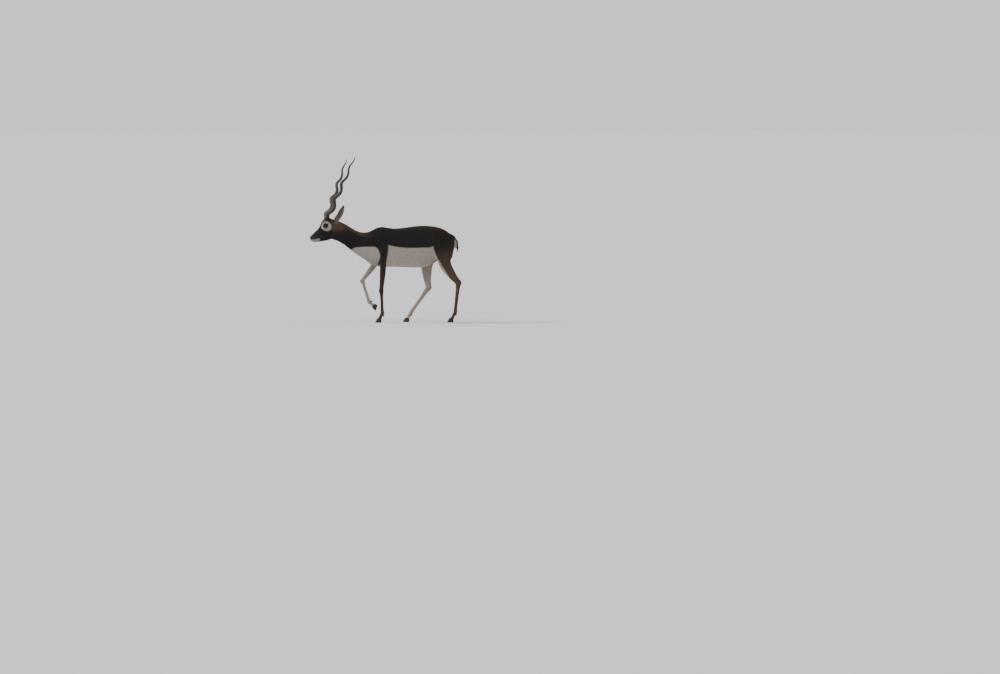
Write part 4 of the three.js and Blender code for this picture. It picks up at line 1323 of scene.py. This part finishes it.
def horn_piece(side, material):
    """A spiral horn with raised rings, which fade out before the smooth tip."""
    base = np.array(HORN["base"], float) * np.array([1, side, 1])
    tip = np.array(HORN_TIPS["left" if side < 0 else "right"], float) * np.array([1, side, 1])
    axis = tip - base
    along = unit(axis)
    back = np.array([1.0, 0, 0])
    back = unit(back - along * back.dot(along))
    out = np.cross(along, back) * -side
    count, sides = (640), 40
    t = np.linspace(-0.03, 1, count)

    def centre_line(t):
        angle = (t - HORN["bulge"]) * HORN["turns"] * 2 * math.pi
        share = np.clip(t, 0, 1)
        swing = 14 * (1 - share) ** 0.45 * np.minimum(1, 0.25 + share * 9) + 1.5
        line = base + np.outer(t, axis)
        return line + np.outer(swing * np.cos(angle), back) + np.outer(swing * np.sin(angle), out)

    centres = centre_line(t)
    down = unit(np.gradient(centres, axis=0))
    ahead = unit(back - down * (down @ back)[:, None])
    across = np.cross(ahead, down)
    turn = np.linspace(0, 2 * math.pi, sides, endpoint=False)
    radius = 2.2 + 17.3 * (1 - np.maximum(t, 0)) ** 0.62
    spacing = np.sign(t) * np.abs(t) ** 0.92
    slant = 0.16 * np.cos(turn[None, :] - 0.6)
    phase = spacing[:, None] * HORN["rings"] + slant + 0.10 * np.sin(5 * turn[None, :] + 9 * t[:, None])
    ridge = (0.5 + 0.5 * np.cos(2 * math.pi * phase)) ** 1.6
    strength = smoothstep(0.0, 0.04, t) * smoothstep(0.90, 0.66, t)
    front = 0.72 + 0.28 * np.cos(turn[None, :] - math.pi)
    uneven = 1 + 0.22 * np.sin(37 * t)[:, None]
    height = 2.7 * strength[:, None] * (0.35 + 0.65 * (radius / 19.5)[:, None]) * front * uneven
    groove = 0.22 * np.cos(turn[None, :] * 13 + 3 * t[:, None]) * (radius / 19.5)[:, None]
    reach = radius[:, None] - 0.8 * strength[:, None] + height * ridge + groove
    reach[-1] = 0.25
    points = (
        centres[:, None, :]
        + ahead[:, None, :] * (reach * np.cos(turn))[:, :, None]
        + across[:, None, :] * (reach * np.sin(turn))[:, :, None]
    )
    # The horn is paler on the crests of its rings, as worn horn, and paler on its front side as a painted
    # highlight.
    dark, light = np.array([0.007, 0.0055, 0.005]), np.array([0.085, 0.070, 0.058])
    share = np.clip(0.15 + 0.62 * ridge * strength[:, None] + 0.25 * smoothstep(0.6, 0.9, t)[:, None], 0, 1)
    colour = mix(np.broadcast_to(dark, points.shape), light, share * (0.55 + 0.45 * front))
    colour = colour * (1 - 0.55 * smoothstep(0.82, 1.0, t))[:, None, None]
    quads = ring_faces(count, sides)
    flat = points.reshape(-1, 3)
    a, b, c = (flat[quads[:, i]] for i in range(3))
    if (np.cross(b - a, c - a) * (a - centres[quads[:, 0] // sides])).sum() < 0:
        quads = quads[:, ::-1]
    triangles = halved(quads)
    ends = []
    for start, flip in ((0, side > 0), ((count - 1) * sides, side < 0)):
        for i in range(1, sides - 1):
            ends.append((start, start + i, start + i + 1) if flip else (start, start + i + 1, start + i))
    triangles = np.concatenate([triangles, np.array(ends)])
    name = "horn_spiral_" + ("left" if side < 0 else "right")
    mesh = mesh_of(name, flat, triangles)
    set_uv(mesh, tube_uv(triangles, count, sides))
    set_colour(mesh, colour.reshape(-1, 3))
    return piece_of(name, mesh, material)


def tube_uv(triangles, count, sides):
    """A plain unroll of a tube's triangles."""
    u, v = (triangles % sides) / sides, (triangles // sides) / (count - 1)
    return np.stack([one_turn(u) * 0.9 + 0.02, v * 0.96 + 0.02], axis=2).reshape(-1, 2)


def eye_piece(side, material):
    """An eyeball whose cornea stands out a little, with a brown iris and a long level pupil."""
    centre, outward, forward, up = eye_frame(side)
    rings, sides = 56, 64
    polar = np.linspace(0.001, math.pi - 0.001, rings)[:, None]
    turn = np.linspace(0, 2 * math.pi, sides, endpoint=False)[None, :]
    bulge = 1.1 * np.exp(-((polar / 0.62) ** 2))
    reach = EYE_RADIUS - 0.7 + bulge * 0.7
    out, to_front, to_top = np.cos(polar) + 0 * turn, np.sin(polar) * np.cos(turn), np.sin(polar) * np.sin(turn)
    way = out[:, :, None] * outward + to_front[:, :, None] * forward + to_top[:, :, None] * up
    points = centre + way * reach[..., None]
    offset = np.hypot(to_front, to_top) * EYE_RADIUS
    level = unit(np.array([-1, 0, 0]) - outward * outward.dot(np.array([-1, 0, 0])))
    flat = way @ level * EYE_RADIUS
    tall = np.sqrt(np.maximum(offset**2 - flat**2, 0))
    pupil = smoothstep(1.15, 0.9, np.hypot(flat / 6.4, tall / 3.4))
    streaks = 0.75 + 0.25 * np.sin(41 * np.arctan2(to_top, to_front) + 2 * np.sin(9 * turn))
    iris = np.array([0.013, 0.0075, 0.0045]) * streaks[..., None]
    colour = mix(iris, np.array([0.004, 0.003, 0.003]), pupil)
    colour = mix(colour, np.array([0.006, 0.005, 0.005]), smoothstep(10.0, 11.6, offset) + (out < 0))
    colour = mix(colour, np.array([0.05, 0.04, 0.035]), smoothstep(14.2, 15.4, offset) * 0.5)
    quads = ring_faces(rings, sides)
    triangles = halved(quads)
    ends = []
    last = (rings - 1) * sides
    for i in range(1, sides - 1):
        ends += [(0, i + 1, i), (last, last + i, last + i + 1)]
    triangles = np.concatenate([triangles, np.array(ends)])
    flat_points = points.reshape(-1, 3)
    a, b, c = (flat_points[triangles[:, i]] for i in range(3))
    if (np.cross(b - a, c - a) * (a - centre)).sum() < 0:
        triangles = triangles[:, ::-1]
    name = "eyeball_" + ("left" if side < 0 else "right")
    mesh = mesh_of(name, flat_points, triangles)
    set_uv(mesh, tube_uv(triangles, rings, sides))
    set_colour(mesh, colour.reshape(-1, 3))
    return piece_of(name, mesh, material)


def rounded_hoof(name, material):
    """A claw with its edges worn round and low growth rings on its wall."""
    points, triangles = node_mesh(name)
    small = name.startswith("dewclaw")
    step = 0.6
    low, high = points.min(axis=0), points.max(axis=0)
    volume = Volume(low - 4, high + 4, step, 5.0)
    volume.values = volume.distances(points, triangles)
    volume.values = volume.smoothed(0.9 if small else 1.5) - (0.15 if small else 0.25)
    _, axes = volume.everywhere()
    ring = np.sin((axes[2] + 0.12 * axes[0]) * 2 * math.pi / 3.4)
    volume.values -= (0.16 * ring * smoothstep(low[2] + 2, low[2] + 6, axes[2])).astype(np.float32)
    points, triangles = volume.surface()
    points[:, 2] = np.maximum(points[:, 2], low[2])
    points, triangles = decimated(points, triangles, 1500 if small else 5000)
    piece_name = name.replace("hoof", "claw").replace("dewclaw", "rear_claw")
    mesh = mesh_of(piece_name, points, triangles)
    middle = points.mean(axis=0)
    around = np.arctan2(points[:, 1] - middle[1], points[:, 0] - middle[0]) / (2 * math.pi) + 0.5
    u = one_turn(around[triangles])
    v = ((points[:, 2] - low[2]) / (high[2] - low[2]))[triangles]
    set_uv(mesh, np.stack([u * 0.6 + 0.02, np.clip(v, 0, 1) * 0.9 + 0.05], axis=2).reshape(-1, 2))
    return piece_of(piece_name, mesh, material)


def spikes(name, roots, ways, lengths, width, colour, material):
    """Loose single hairs, as thin three-sided spikes."""
    count = len(roots)
    across = unit(np.cross(ways, random.normal(0, 1, (count, 3))))
    third = np.cross(ways, across)
    corners = []
    for step in range(3):
        angle = step * 2 * math.pi / 3
        corners.append(roots + (across * math.cos(angle) + third * math.sin(angle)) * width / 2)
    tips = roots + ways * lengths[:, None]
    points = np.stack(corners + [tips], axis=1).reshape(-1, 3)
    pattern = np.array([(0, 1, 3), (1, 2, 3), (2, 0, 3), (1, 0, 2)])
    faces = (np.arange(count)[:, None, None] * 4 + pattern).reshape(-1, 3)
    mesh = mesh_of(name, points, faces)
    patch = 0.5 + 0.0015 * np.array([(1, 0), (0, 1), (-1, 0), (0, -1)])
    shift = np.stack([np.linspace(-0.4, 0.4, count), np.zeros(count)], axis=1)
    set_uv(mesh, (patch[pattern][None] + shift[:, None, None, :]).reshape(-1, 2))
    set_colour(mesh, np.repeat(colour * random.uniform(0.8, 1.2, (count, 1)), 4, axis=0))
    return piece_of(name, mesh, material)


def lashes(side, material):
    """Eyelashes along the upper lid."""
    centre, outward, forward, up = eye_frame(side)
    count = 90
    reach = random.uniform(-0.92, 0.92, count) * EYE_HALF_WIDTH
    height = EYE_UPPER * (1 - np.abs(reach / EYE_HALF_WIDTH) ** EYE_CORNERS) + 0.8
    depth = np.sqrt(np.maximum((LID_RADIUS + 0.8) ** 2 - reach**2 - height**2, 1))
    roots = centre + np.outer(reach, forward) + np.outer(height, up) + np.outer(depth, outward)
    ways = outward * 1.0 + np.outer(reach / EYE_HALF_WIDTH * 0.5, forward)
    ways = unit(ways + random.normal(0, 0.12, (count, 3)) + up * -0.15)
    lengths = random.uniform(5.0, 8.5, count)
    name = "lashes_" + ("left" if side < 0 else "right")
    return spikes(name, roots, ways, lengths, 0.5, BLACK, material)


def ear_fringe(word, skin, material):
    """Longer pale hair that grows from the inner face and edges of the ear."""
    root, tip = (np.array(p, float) for p in LINES["ear_" + word]["points"])
    names = np.array(skin.lie.parts)[skin.part]
    opens = np.array(EAR_OPENS[word])
    along = unit(tip - root)
    opens = unit(opens - along * opens.dot(along))
    normals = unit(skin.normals[skin.triangles].sum(axis=1))
    share = (skin.centres - root) @ along / np.linalg.norm(tip - root)
    inside = (names == "ear_" + word) & (normals @ opens > 0.1) & (share < 0.8) & (share > 0.14)
    faces = np.flatnonzero(inside)
    chance = skin.area[faces] / skin.area[faces].sum()
    count = 1500
    chosen = random.choice(faces, count, p=chance)
    corner = random.random((count, 3))
    corner /= corner.sum(axis=1, keepdims=True)
    roots = np.einsum("ij,ijk->ik", corner, skin.points[skin.triangles[chosen]])
    ways = along + 0.55 * normals[chosen] + 0.25 * opens + random.normal(0, 0.22, (count, 3))
    lengths = random.uniform(6, 15, count) * (1 - 0.5 * share[chosen])
    return spikes("ear_hair_" + word, roots, unit(ways), lengths, 0.45, PALE * 0.9, material)



def stage():
    floor_mesh = bpy.data.meshes.new("floor")
    s = FLOOR_HALF_SIZE  # in metres
    floor_mesh.from_pydata([(-s, -s, 0), (s, -s, 0), (s, s, 0), (-s, s, 0)], [], [(0, 1, 2, 3)])
    material, _, _, _ = new_material("floor", (0.556, 0.564, 0.581), 0.9)
    floor = piece_of("floor", floor_mesh, material)

    scene = bpy.context.scene
    world = bpy.data.worlds.new("studio")
    world.use_nodes = True
    world.node_tree.nodes["Background"].inputs["Color"].default_value = (0.95, 0.95, 0.96, 1)
    world.node_tree.nodes["Background"].inputs["Strength"].default_value = 1.0
    scene.world = world
    lights = [
        ("key", 3.2, 12, (-0.80, 0.22, 0.66), (1.0, 0.96, 0.90)),
        ("fill", 0.9, 9, (-0.62, -0.62, 0.80), (1.0, 0.98, 0.96)),
    ]
    for name, strength, size, towards, colour in lights:
        light = bpy.data.lights.new(name, "SUN")
        light.energy, light.angle, light.color = strength, math.radians(size), colour
        lamp = bpy.data.objects.new(name, light)
        lamp.rotation_euler = Vector(towards).to_track_quat("Z", "Y").to_euler()
        scene.collection.objects.link(lamp)

    camera = bpy.data.cameras.new("camera")
    camera.lens, camera.sensor_width = 200, 36
    camera.clip_end = 9000
    viewer = bpy.data.objects.new("camera", camera)
    viewer.location = CAMERA_PLACE
    heading, drop = math.radians(CAMERA_HEADING), math.radians(CAMERA_DROP)
    way = Vector((math.sin(heading) * math.cos(drop), math.cos(heading) * math.cos(drop), -math.sin(drop)))
    viewer.rotation_euler = way.to_track_quat("-Z", "Y").to_euler()
    scene.collection.objects.link(viewer)
    scene.camera = viewer


def build():
    stage()
    skin = Skin()
    coat = coat_material()
    flesh = skin.piece(skin_material())
    flesh_nodes = ["trunk", "neck", "head", "tail", "ear_left", "ear_right", *LEG_NAMES]
    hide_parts(*flesh_nodes)
    pieces = [flesh]
    for piece in coat_pieces(skin, coat):
        pieces.append(piece)
    horn, hoof, eye = horn_material(), hoof_material(), eye_material()
    for word, side in SIDES.items():
        spiral = horn_piece(side, horn)
        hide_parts("horn_" + word)
        ball = eye_piece(side, eye)
        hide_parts("eye_" + word)
        lash = lashes(side, coat)
        fringe = ear_fringe(word, skin, coat)
        pieces += [spiral, ball, lash, fringe]
    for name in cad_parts:
        if name.startswith(("hoof", "dewclaw")):
            claw = rounded_hoof(name, hoof)
            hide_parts(name)
            pieces.append(claw)
    for piece in pieces:
        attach(piece, "root")


build()
